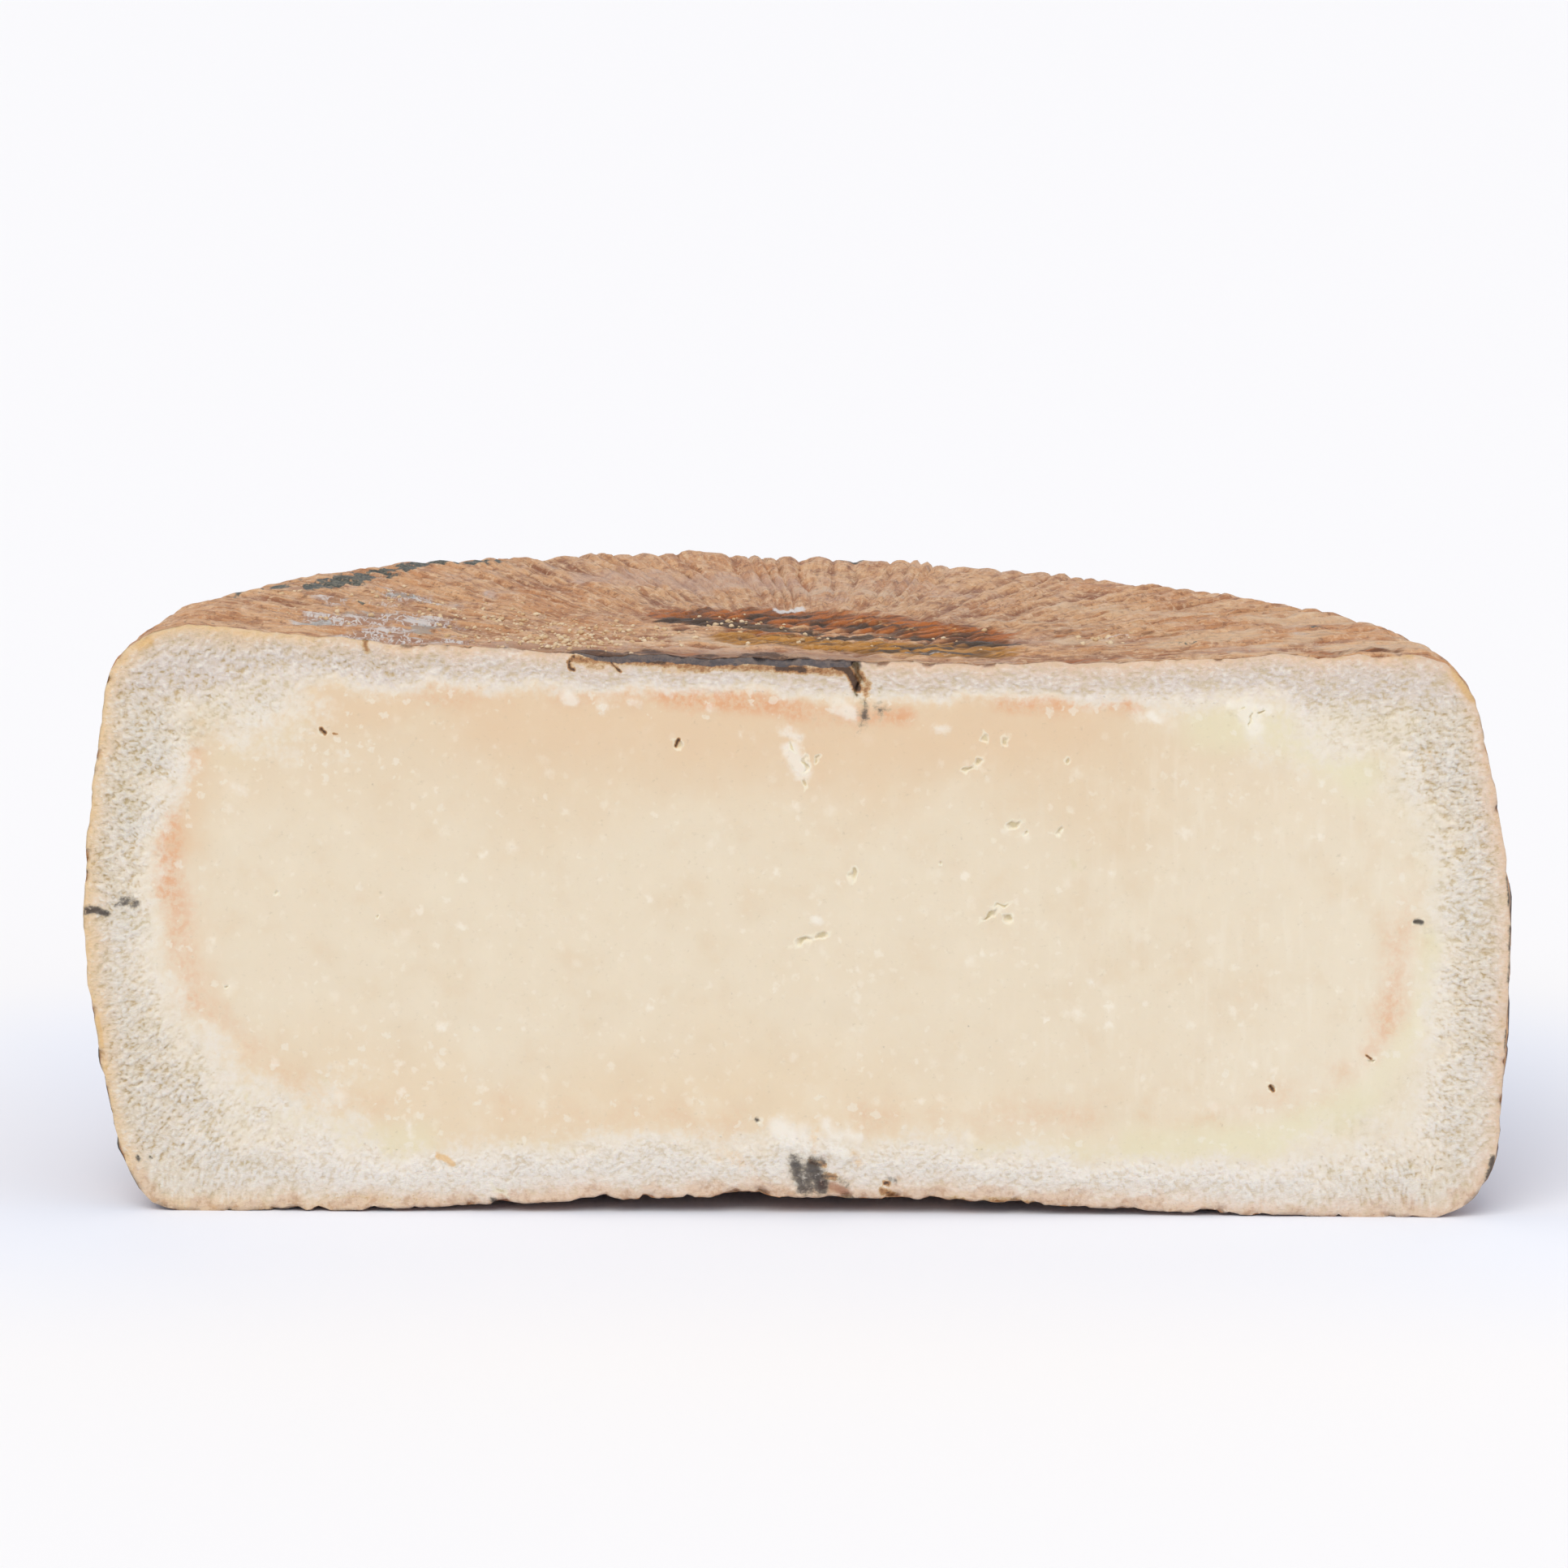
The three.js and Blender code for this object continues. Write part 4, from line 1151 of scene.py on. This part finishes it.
pasteTones = mixed({
    "cream": (226, 211, 188), "upper cream": (223, 202, 174), "lower cream": (226, 206, 178),
    "right cream": (228, 215, 194), "dark cloud": (220, 200, 172), "pale cloud": (231, 218, 197),
    "brushed": (238, 230, 216), "speck": (234, 223, 205), "white speck": (243, 236, 224),
    "dot": (168, 132, 84), "smudge": (213, 201, 162),
    "peach": (223, 195, 163), "lemon": (225, 218, 186), "salmon": (219, 163, 123),
    "strewn": (234, 226, 212), "whitish": (229, 219, 204), "crumb": (229, 220, 210),
    "warm crumb": (228, 215, 198), "top crumb": (220, 207, 199), "low crumb": (232, 224, 216),
    "right crust": (229, 203, 182), "left crust": (230, 200, 164),
    # hollow and pit: painted shade in the crumb's low places; lit crest: painted light on its high ones
    "hollow": (211, 193, 164), "pit": (192, 164, 122), "lit crest": (236, 228, 217),
    "olive": (186, 170, 130), "chalk": (238, 231, 221),
    "right skin": (230, 192, 160), "left skin": (236, 196, 146),
    "low skin": (186, 146, 116), "pale low skin": (222, 194, 170),
    # eye: painted shade inside the eyes and the crack, over their own yellowish tan
    "torn edge": (238, 230, 210), "eye": (206, 188, 142),
    "amber": (222, 178, 116), "rust": (160, 104, 74),
    "pale stain": (214, 184, 144), "stain": (172, 122, 78), "dark stain": (76, 48, 32),
    "pale mould": (166, 150, 126), "mould": (104, 96, 88), "dark mould": (54, 46, 46),
    "grey edge": (88, 84, 88), "pale grey edge": (112, 100, 97),
})


def pasteFields(tree):
    # the places, marks and noises that the parts of the cut's finish share
    place = inMillimetres(tree)
    parts = addNode(tree, "ShaderNodeSeparateXYZ", {0: place}).outputs
    stroke = inMillimetres(tree, (1.7, 1.0, 1.0), (0, 0.12, 0))
    at = SimpleNamespace(
        place=place, across=parts[0], above=parts[2], depth=marked(tree, "depth"),
        astray=warped(tree, place, 1.2, 2.4), toLeft=fade(tree, parts[0], -60, -125),
        broad=noiseOf(tree, place, 40, 2), clouds=noiseOf(tree, place, 9, 4, 0.55),
        flecks=noiseOf(tree, place, 1.6, 3, 0.6), sown=noiseOf(tree, place, 1.3, 3, 0.65),
        grit=noiseOf(tree, stroke, 0.62, 4, 0.7))
    at.uneven = pushed(tree, pushed(tree, marked(tree, "share"), at.clouds, 0.9), at.flecks, 0.6)
    grain = maths(tree, "MULTIPLY_ADD", marked(tree, "grain"), 0.75, 0.12)
    at.relief = pushed(tree, grain, at.grit, 1.2)
    return at


def creamPaste(tree, at):
    # warmer towards the top and the bottom, and paler to the right
    tone = pasteTones
    level = pushed(tree, at.above, at.broad, 40.0)
    brushed = stretchedNoise(tree, (2.6, 1.0, 13.0), 3, 0.55)
    colour = paint(tree, fade(tree, level, 74, 100), tone["cream"], tone["upper cream"])
    colour = glaze(tree, colour, tone["lower cream"],
                   fade(tree, level, 46, 20), fade(tree, at.across, 5, 60, 1.0, 0.2))
    colour = glaze(tree, colour, tone["right cream"], fade(tree, at.across, 60, 130, 0, 0.8))
    colour = glaze(tree, colour, tone["dark cloud"], fade(tree, at.clouds, 0.46, 0.74, 0, 0.36))
    colour = glaze(tree, colour, tone["pale cloud"], fade(tree, at.clouds, 0.48, 0.28, 0, 0.34))
    return glaze(tree, colour, tone["brushed"],
                 fade(tree, brushed, 0.5, 0.74), fade(tree, at.across, 20, 95, 0.04, 0.22))


def softSpecks(tree, colour, at):
    # whitish specks of three sizes, a few of them nearly white, and rare dots and smudges
    tone = pasteTones
    for size, radius, strength in ((7.4, 0.13, 0.5), (4.4, 0.17, 0.5), (2.3, 0.24, 0.34)):
        speck, chance = specksOf(tree, at.astray, size, radius, 0.16)
        white = paint(tree, fade(tree, chance, 0.86, 1.0), tone["speck"], tone["white speck"])
        colour = glaze(tree, colour, white, speck, strength)
    dot, _ = specksOf(tree, at.place, 26.0, 0.02, 0.006)
    smudge, _ = specksOf(tree, at.astray, 33.0, 0.06, 0.03)
    colour = glaze(tree, colour, tone["dot"], dot, 0.7)
    return glaze(tree, colour, tone["smudge"], smudge, 0.5)


def ripeBands(tree, colour, at):
    # peach under the crumb, the greenish yellow bands and the salmon line beside them
    peach = ragged(tree, "peach", at.clouds, 0.05, 1.0, 0.5)
    lemon = ragged(tree, "lemon", at.clouds, 0.1, 1.0, 0.9)
    blush = ragged(tree, "salmon", at.clouds, 0.05, 1.15, 1.0)
    colour = glaze(tree, colour, pasteTones["peach"], peach, 0.75)
    colour = glaze(tree, colour, pasteTones["lemon"], lemon, 0.6)
    return glaze(tree, colour, pasteTones["salmon"], blush, fade(tree, at.sown, 0.36, 0.64, 1.0, 0.4), 0.9)


def crumbTone(tree, at):
    # granular, with painted shade in its tan hollows and pits and painted light on its pale crests, and a
    # crust towards the rind
    tone = pasteTones
    lowEdge = times(tree, fade(tree, at.above, 17, 9),
                    fade(tree, maths(tree, "ABSOLUTE", at.across), 128, 96))
    body = paint(tree, fade(tree, at.clouds, 0.36, 0.64), tone["crumb"], tone["warm crumb"])
    body = glaze(tree, body, tone["top crumb"], fade(tree, at.above, 106, 114))
    body = glaze(tree, body, tone["low crumb"], lowEdge)
    crust = fade(tree, pushed(tree, at.depth, at.clouds, 9.0), 6.5, 0.5, 0, 0.7)
    body = glaze(tree, body, paint(tree, at.toLeft, tone["right crust"], tone["left crust"]), crust)
    softened = maths(tree, "MULTIPLY_ADD", lowEdge, -0.35, 1.0)
    # painted shade: the crumb is tinted tan where its relief is low, and darker still in the pits, most
    # where it is coarse
    body = glaze(tree, body, tone["hollow"], fade(tree, at.relief, 0.62, 0.12, 0, 0.75), softened)
    body = glaze(tree, body, tone["pit"], fade(tree, at.relief, 0.3, 0.02),
                 fade(tree, marked(tree, "coarse"), 0, 0.8, 0.22, 0.85))
    # painted light: the crumb's highest crests are painted paler
    return glaze(tree, body, tone["lit crest"], fade(tree, at.relief, 0.52, 1.0, 0, 0.85))


def crumbOver(tree, colour, at):
    # the crumb is whitish towards the paste, with flakes strewn beyond it
    tone = pasteTones
    snow, chance = specksOf(tree, at.astray, 2.4, 0.34)
    strewn = maths(tree, "SUBTRACT", chance, times(tree, at.uneven, 0.85))
    colour = glaze(tree, colour, tone["strewn"], snow, fade(tree, strewn, -0.62, -0.4), 0.5)
    colour = glaze(tree, colour, tone["whitish"], fade(tree, at.uneven, 1.28, 0.86), 0.85)
    colour = glaze(tree, colour, crumbTone(tree, at), fade(tree, at.uneven, 1.16, 0.64))
    # the olive tint is the crumb's own colour at the corners, and is laid strongest in the hollows as
    # painted shade
    olive = ragged(tree, "olive", at.flecks, 0.15, 1.0, 0.7)
    colour = glaze(tree, colour, tone["olive"], olive, fade(tree, at.relief, 0.5, 0.0, 0.14, 0.7))
    return glaze(tree, colour, tone["chalk"], ragged(tree, "chalk", at.flecks, 0.3, 0.9, 0.8), 0.66)


def skinOver(tree, colour, at):
    # cream-orange at the left, pinkish at the right, tan along the bottom
    tone = pasteTones
    depth = pushed(tree, pushed(tree, at.depth, at.clouds, 3.0), at.flecks, 2.4)
    skin = paint(tree, at.toLeft, tone["right skin"], tone["left skin"])
    colour = glaze(tree, colour, skin, fade(tree, depth, 3.4, 0.6, 0, 0.3))
    colour = glaze(tree, colour, skin, fade(tree, depth, 1.3, 0.2, 0, 0.5))
    lowDepth = pushed(tree, at.depth, noiseOf(tree, at.place, 4.5, 3), 14.0)
    lowSkin = paint(tree, fade(tree, at.flecks, 0.36, 0.56), tone["low skin"], tone["pale low skin"])
    return glaze(tree, colour, lowSkin, fade(tree, lowDepth, 2.8, 0.4), fade(tree, at.above, 12, 6, 0, 0.6))


def eyesOver(tree, colour, at):
    eye = marked(tree, "eye")
    torn = pushed(tree, eye, at.flecks, 1.3)
    colour = glaze(tree, colour, pasteTones["torn edge"],
                   fade(tree, torn, 0.0, 0.35, 0, 0.55), fade(tree, eye, 0.02, 0.16))
    # painted shade: the eyes and the crack are painted a darker tan inside, over their own yellowish tan
    return glaze(tree, colour, pasteTones["eye"], fade(tree, torn, 0.45, 0.95, 0, 0.6))


def spoiltOver(tree, colour, at):
    # amber, rust, brown stains from pale to dark, mould with white grains in it, the grey edge
    tone = pasteTones
    amber = ragged(tree, "amber", at.flecks, 0.2, 1.0, 1.1)
    rust = ragged(tree, "rustCut", at.flecks, 0.3, 0.9, 1.1)
    colour = glaze(tree, colour, tone["amber"], amber, 0.72)
    colour = glaze(tree, colour, tone["rust"], rust, 0.75)

    stain = pushed(tree, pushed(tree, marked(tree, "stain"), at.grit, 0.9), at.flecks, 0.6)
    brown = paint(tree, fade(tree, stain, 0.36, 0.66), tone["pale stain"], tone["stain"])
    brown = glaze(tree, brown, tone["dark stain"], fade(tree, stain, 0.62, 0.9))
    colour = glaze(tree, colour, brown, fade(tree, stain, 0.26, 0.46, 0, 0.94))

    mould = pushed(tree, pushed(tree, marked(tree, "mould"), at.grit, 0.8), at.sown, 1.1)
    dark = paint(tree, fade(tree, mould, 0.3, 0.75), tone["pale mould"], tone["mould"])
    dark = glaze(tree, dark, tone["dark mould"], fade(tree, mould, 0.65, 1.1))
    colour = glaze(tree, colour, dark, fade(tree, mould, 0.1, 0.8, 0, 0.9),
                   fade(tree, at.relief, 1.1, 0.6, 0.3, 1.0))

    strip = pushed(tree, marked(tree, "greyEdge"), at.flecks, 0.5)
    grey = paint(tree, fade(tree, at.sown, 0.42, 0.6), tone["grey edge"], tone["pale grey edge"])
    return glaze(tree, colour, grey, fade(tree, strip, 0.1, 0.22, 0, 0.95))


def pasteFinish():
    material, tree, shader = newFinish("cut paste", 0.62, 0.28)
    at = pasteFields(tree)
    colour = creamPaste(tree, at)
    for layer in (softSpecks, ripeBands, crumbOver, skinOver, eyesOver, spoiltOver):
        colour = layer(tree, colour, at)
    height = times(tree, at.grit, fade(tree, at.uneven, 0.95, 0.5, 0.08, 1.0))
    finishWith(tree, shader, colour, height, 0.0005, 0.9)
    letLightIn(shader, 0.2, (1.0, 0.72, 0.45), 0.002)
    return material


# The finish of the rind.

rindTones = mixed({
    # groove shade and reed: the rind's tan, with painted shade in the grooves and painted light on the reed
    # backs
    "groove": (140, 88, 58), "reed": (204, 154, 112),
    # furrow: painted shade in the furrows of the side
    "furrow": (124, 88, 64), "bloom": (212, 190, 164),
    "side mould": (62, 62, 56), "pale side mould": (116, 112, 98),
    "mauve": (190, 156, 140), "pale": (216, 186, 156), "shade": (150, 112, 88),
    "rust thread": (110, 66, 36), "rust": (178, 100, 40),
    "ochre thread": (120, 80, 36), "ochre": (184, 126, 52),
    # knot furrow shade: painted shade between the strands; lit crown: painted light on their backs
    "knot furrow shade": (82, 56, 44), "worn": (88, 66, 54), "crown": (214, 168, 112),
    "veil": (156, 118, 100), "veil thread": (216, 206, 202),
    "dash": (68, 54, 44), "blue mould": (140, 146, 146), "white": (224, 216, 214),
    "dark mould": (56, 66, 64), "pale mould": (104, 104, 94), "cut stain": (72, 46, 34),
    "left scab": (52, 62, 56), "right scab": (50, 40, 44), "scab fleck": (112, 90, 82),
})

# Noise by noise, the streaks and spots laid over the reed marks: from, to, strength and tone.
reedTones = (
    ("broad", 0.46, 0.64, 0.6, srgb(190, 128, 82)), ("clouds", 0.52, 0.68, 0.6, srgb(204, 166, 140)),
    ("streak", 0.53, 0.68, 0.5, srgb(218, 178, 140)), ("streak", 0.46, 0.32, 0.45, srgb(160, 106, 74)),
    ("mottle", 0.54, 0.66, 0.55, srgb(220, 182, 150)), ("mottle", 0.46, 0.34, 0.6, srgb(150, 98, 68)),
    ("fineStreak", 0.52, 0.66, 0.6, srgb(222, 180, 140)),
    ("fineStreak", 0.47, 0.36, 0.5, srgb(150, 96, 64)),
    ("flecks", 0.55, 0.66, 0.55, srgb(230, 196, 162)), ("flecks", 0.44, 0.34, 0.6, srgb(116, 74, 50)),
    ("grit", 0.58, 0.7, 0.2, srgb(226, 196, 160)), ("grit", 0.42, 0.3, 0.25, srgb(124, 84, 60)),
)
calmOnSide = ("mottle", "flecks", "grit")


def rindFields(tree):
    # the places, marks and noises that the parts of the rind's finish share
    place = inMillimetres(tree)
    parts = addNode(tree, "ShaderNodeSeparateXYZ", {0: place}).outputs
    fromCut = maths(tree, "SUBTRACT", parts[1], cutPlane / millimetre)
    angle = maths(tree, "ARCTAN2", fromCut, parts[0])
    reach = maths(tree, "SQRT", maths(tree, "ADD", times(tree, parts[0], parts[0]),
                                      times(tree, fromCut, fromCut)))
    spokes = addNode(tree, "ShaderNodeCombineXYZ", {
        0: times(tree, angle, basket["reeds"] / math.pi), 1: times(tree, reach, 0.022),
        2: times(tree, parts[2], 0.12)}).outputs[0]
    inside = fade(tree, reach, 74, 42)
    alongStrands = (0, 0, -knotPatch["strandTurn"])
    return SimpleNamespace(
        place=place, across=parts[0], above=parts[2], back=marked(tree, "back"),
        onSide=fade(tree, marked(tree, "zone"), 1.2, 1.9),
        streak=blendOf(tree, inside, noiseOf(tree, spokes, 0.6, 4, 0.6),
                       stretchedNoise(tree, (15, 5, 4), 4, 0.6)),
        fineStreak=blendOf(tree, inside, noiseOf(tree, spokes, 0.24, 3, 0.6),
                           stretchedNoise(tree, (8, 2.2, 3), 3, 0.6)),
        broad=noiseOf(tree, place, 34, 3, 0.55), clouds=noiseOf(tree, place, 8, 4, 0.6),
        mottle=noiseOf(tree, inMillimetres(tree, (1.0, 1.8, 1.0)), 3.4, 4, 0.6),
        flecks=noiseOf(tree, place, 1.8, 4, 0.65), grit=noiseOf(tree, place, 0.7, 3, 0.6),
        strands=stretchedNoise(tree, (9.0, 3.0, 4.0), 3, 0.6, alongStrands),
        fibres=stretchedNoise(tree, (13.0, 2.2, 4.0), 4, 0.65, alongStrands))


def reedColour(tree, at):
    # tan reed marks with painted shade in their grooves and painted light on their backs, pale streaks on
    # their backs and a pinkish bloom
    height = pushed(tree, at.back, at.streak, 0.7)
    # painted shade and painted light: darker where the relief is low, lighter where it is high
    colour = paint(tree, fade(tree, height, 0.22, 0.62), rindTones["groove"], rindTones["reed"])
    calm = fade(tree, at.onSide, 0, 1, 1.0, 0.5)
    for name, low, high, strength, tone in reedTones:
        shares = [fade(tree, getattr(at, name), low, high, 0, strength)]
        if name in calmOnSide:
            shares.append(calm)
        colour = glaze(tree, colour, tone, *shares)
    return colour


def sideOver(tree, colour, at):
    # painted shade in the furrows, dry pale bloom, and dark mould in patches low down
    tone = rindTones
    colour = glaze(tree, colour, tone["furrow"], fade(tree, at.back, 0.4, 0.05, 0, 0.6), at.onSide)
    bloom = fade(tree, pushed(tree, noiseOf(tree, at.place, 13, 4, 0.6), at.flecks, 0.3), 0.46, 0.74)
    colour = glaze(tree, colour, tone["bloom"], bloom, 0.5, at.onSide)
    patches = maths(tree, "ADD", pushed(tree, at.broad, at.clouds, 1.1),
                    fade(tree, at.above, 70, 8, -0.12, 0.04))
    mould = paint(tree, fade(tree, at.flecks, 0.4, 0.6), tone["side mould"], tone["pale side mould"])
    return glaze(tree, colour, mould, fade(tree, patches, 0.6, 0.72, 0, 0.8), at.onSide)


def knotOver(tree, colour, at):
    # rust and ochre strands in the middle of the top, dark where they are worn open, with painted shade in
    # their furrows and painted light on their crowns
    tone = rindTones
    rust = paint(tree, fade(tree, at.fibres, 0.4, 0.6), tone["rust thread"], tone["rust"])
    ochre = paint(tree, fade(tree, at.fibres, 0.38, 0.58), tone["ochre thread"], tone["ochre"])
    for name, over, grain, low, high, strength, rough in (
            ("mauve", tone["mauve"], at.clouds, 0.3, 0.9, 0.5, 1.3),
            ("pale", tone["pale"], at.clouds, 0.3, 0.9, 0.6, 1.6),
            ("rust", rust, at.strands, 0.28, 0.7, 1.0, 1.3),
            ("ochre", ochre, at.strands, 0.28, 0.7, 1.0, 1.2),
            ("shade", tone["shade"], at.flecks, 0.2, 0.9, 0.6, 1.2)):
        colour = glaze(tree, colour, over, ragged(tree, name, grain, low, high, rough), strength)
    onKnot = marked(tree, "knot")
    # painted shade in the furrows between the knot's strands
    colour = glaze(tree, colour, tone["knot furrow shade"], fade(tree, at.back, 0.56, 0.2), onKnot, 0.8)
    colour = glaze(tree, colour, tone["worn"], fade(tree, at.fibres, 0.44, 0.34), onKnot, 0.6)
    # painted light in flecks on the backs of the strands
    return glaze(tree, colour, tone["crown"], fade(tree, at.flecks, 0.5, 0.64),
                 fade(tree, at.back, 0.5, 0.75), onKnot, 0.6)


def veilOver(tree, colour, at):
    # a brownish film with a net of pale threads of mould on it
    net = noiseOf(tree, warped(tree, inMillimetres(tree, (1.0, 3.6, 1.0)), 3, 3.0), 2.6, 3, 0.6)
    lines = fade(tree, maths(tree, "ABSOLUTE", maths(tree, "SUBTRACT", net, 0.5)), 0.06, 0.01)
    threads = maths(tree, "MAXIMUM", lines, fade(tree, at.clouds, 0.56, 0.66))
    veil = ragged(tree, "veil", at.clouds, 0.25, 0.75, 1.8)
    colour = glaze(tree, colour, rindTones["veil"], veil, 0.7)
    return glaze(tree, colour, rindTones["veil thread"], veil, threads, 0.85)


def mouldAndDashesOver(tree, colour, at):
    # dark dashes across the knot, blue, white and dark mould, and the dark stain along the cut
    tone = rindTones
    darkMould = paint(tree, fade(tree, at.grit, 0.45, 0.6), tone["dark mould"], tone["pale mould"])
    for name, over, grain, low, high, strength, rough in (
            ("dash", tone["dash"], at.strands, 0.42, 0.7, 0.85, 1.7),
            ("blueMould", tone["blue mould"], at.flecks, 0.4, 0.9, 0.55, 2.2),
            ("white", tone["white"], at.flecks, 0.35, 0.8, 0.9, 1.2),
            ("darkMould", darkMould, at.mottle, 0.4, 0.72, 0.94, 3.6),
            ("cutStain", tone["cut stain"], at.flecks, 0.4, 0.9, 0.88, 1.6)):
        colour = glaze(tree, colour, over, ragged(tree, name, grain, low, high, rough),
                       fade(tree, marked(tree, name), 0.04, 0.3), strength)
    return colour


def scabsOver(tree, colour, at):
    # growths behind the cut: purple-black at the right, greenish black at the left
    tone = rindTones
    toRight = fade(tree, at.across, -20, 20)
    broken = maths(tree, "MAXIMUM", fade(tree, at.clouds, 0.6, 0.5, 0.2, 1.0), toRight)
    dark = paint(tree, toRight, tone["left scab"], tone["right scab"])
    dark = glaze(tree, dark, tone["scab fleck"], fade(tree, at.flecks, 0.54, 0.68))
    return glaze(tree, colour, dark, ragged(tree, "scab", at.flecks, 0.2, 0.5, 0.7), broken, 0.95)


def rindFinish():
    material, tree, shader = newFinish("basket rind", 0.56, 0.34)
    at = rindFields(tree)
    colour = reedColour(tree, at)
    for layer in (sideOver, knotOver, veilOver, mouldAndDashesOver, scabsOver):
        colour = layer(tree, colour, at)
    height = maths(tree, "ADD", times(tree, at.flecks, 0.45), times(tree, at.fineStreak, 1.1))
    height = maths(tree, "ADD", height, times(tree, at.grit, 0.3))
    finishWith(tree, shader, colour, height, 0.0011, 0.8)
    letLightIn(shader, 0.08, (1.0, 0.5, 0.3), 0.0015)
    return material


crumbTones = mixed({"dark": (204, 170, 130), "pale": (228, 206, 176), "spotted": (186, 150, 110)})


def crumbFinish():
    material, tree, shader = newFinish("dried crumb", 0.8, 0.2)
    colour = paint(tree, marked(tree, "tone"), crumbTones["dark"], crumbTones["pale"])
    fine = noiseOf(tree, inMillimetres(tree), 0.5, 3)
    colour = glaze(tree, colour, crumbTones["spotted"], fade(tree, fine, 0.45, 0.3, 0, 0.4))
    tree.links.new(colour, shader.inputs["Base Color"])
    return material


# Floor, light and camera.

studio = {
    "sky": (0.82, 0.91, 1.05), "skyStrength": 0.62,
    "sunTone": (1.0, 0.954, 0.815),
    # the floor is painted a little darker and bluer near the wheel: painted shade round its foot
    "floorFar": srgb(249, 245, 246), "floorShadeNear": srgb(238, 240, 252), "floorSize": 60.0,
    "nearBox": (0.13, 0.075, 0), "nearReach": 0.13,     # where the floor has its near tone
}

# Where each light comes from, its strength and how wide it is in degrees.
suns = {
    "key light": ((-0.26, -0.62, 0.78), 1.62, 46),
    "fill light": ((0.60, -0.45, 0.65), 0.32, 60),
    "back light": ((0.25, 0.75, 0.60), 0.32, 70),
}

view = {
    "place": (-0.0029, -1.1 + cutPlane, 0.2719),
    "aim": (-0.0029, cutPlane, 0.0925),
    "roll": math.radians(0.32),
    "lens": 122.2,
    "sensor": 36,
}


def addFloor():
    deselectAll()
    bpy.ops.mesh.primitive_plane_add(size=studio["floorSize"])
    floor = bpy.context.object
    floor.name = "floor"
    material, tree, shader = newFinish("pale floor", 0.9, 0.1)
    away = addNode(tree, "ShaderNodeTexCoord").outputs["Object"]
    for operation, second in (
            ("ABSOLUTE", (0, 0, 0)), ("SUBTRACT", studio["nearBox"]), ("MAXIMUM", (0, 0, 0))):
        away = addNode(tree, "ShaderNodeVectorMath", {0: away, 1: second}, operation=operation).outputs[0]
    reach = addNode(tree, "ShaderNodeVectorMath", {0: away}, operation="LENGTH").outputs["Value"]
    # painted shade: the near tone round the wheel, fading out to the far tone
    near = fade(tree, reach, 0.0, studio["nearReach"])
    colour = paint(tree, near, studio["floorShadeNear"], studio["floorFar"])
    tree.links.new(colour, shader.inputs["Base Color"])
    floor.data.materials.append(material)


def addSun(name, source, strength, softness):
    deselectAll()
    turn = Vector(source).to_track_quat("Z", "Y").to_euler()
    bpy.ops.object.light_add(type="SUN", rotation=turn)
    sun = bpy.context.object
    sun.name = name
    sun.data.energy = strength
    sun.data.color = studio["sunTone"]
    sun.data.angle = math.radians(softness)


def addCamera():
    deselectAll()
    bpy.ops.object.camera_add(location=view["place"])
    camera = bpy.context.object
    towards = Vector(view["aim"]) - Vector(view["place"])
    turned = towards.to_track_quat("-Z", "Y").to_matrix() @ Matrix.Rotation(view["roll"], 3, "Z")
    camera.rotation_euler = turned.to_euler()
    camera.data.lens = view["lens"]
    camera.data.sensor_width = view["sensor"]
    bpy.context.scene.camera = camera


def addSky():
    world = bpy.data.worlds.new("studio sky")
    world.use_nodes = True
    backdrop = world.node_tree.nodes["Background"]
    backdrop.inputs[0].default_value = (*studio["sky"], 1)
    backdrop.inputs[1].default_value = studio["skyStrength"]
    bpy.context.scene.world = world
    bpy.context.scene.view_settings.view_transform = "Standard"


wheelPiece = wrapRind()
print("rind wrapped:", len(wheelPiece.data.polygons), "faces")
fillCut(wheelPiece)
outlinePath = cutPath(wheelPiece)
refineCut(wheelPiece, outlinePath)
shapeCut(wheelPiece, outlinePath)
print("cut shaped:", len(wheelPiece.data.polygons), "faces in all")
thinOut(wheelPiece, sheet["rindShare"], sheet["pasteShare"], outlinePath)
rind, paste = takeApart(wheelPiece)
markRind(rind)
markCut(paste, outlinePath)
crumbs = strewCrumbs(rind)
for piece, finish in ((rind, rindFinish()), (paste, pasteFinish()), (crumbs, crumbFinish())):
    piece.data.materials.clear()
    piece.data.materials.append(finish)
    piece.data.shade_smooth()
    settle(piece)
    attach(piece, "root")
    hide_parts("half_wheel")
    print(piece.name, "finished and placed:", len(piece.data.polygons), "triangles")

addFloor()
for name, (source, strength, softness) in suns.items():
    addSun(name, source, strength, softness)
addSky()
addCamera()

print("cad box:", [round(v, 4) for v in (*cadLow, *cadHigh)])
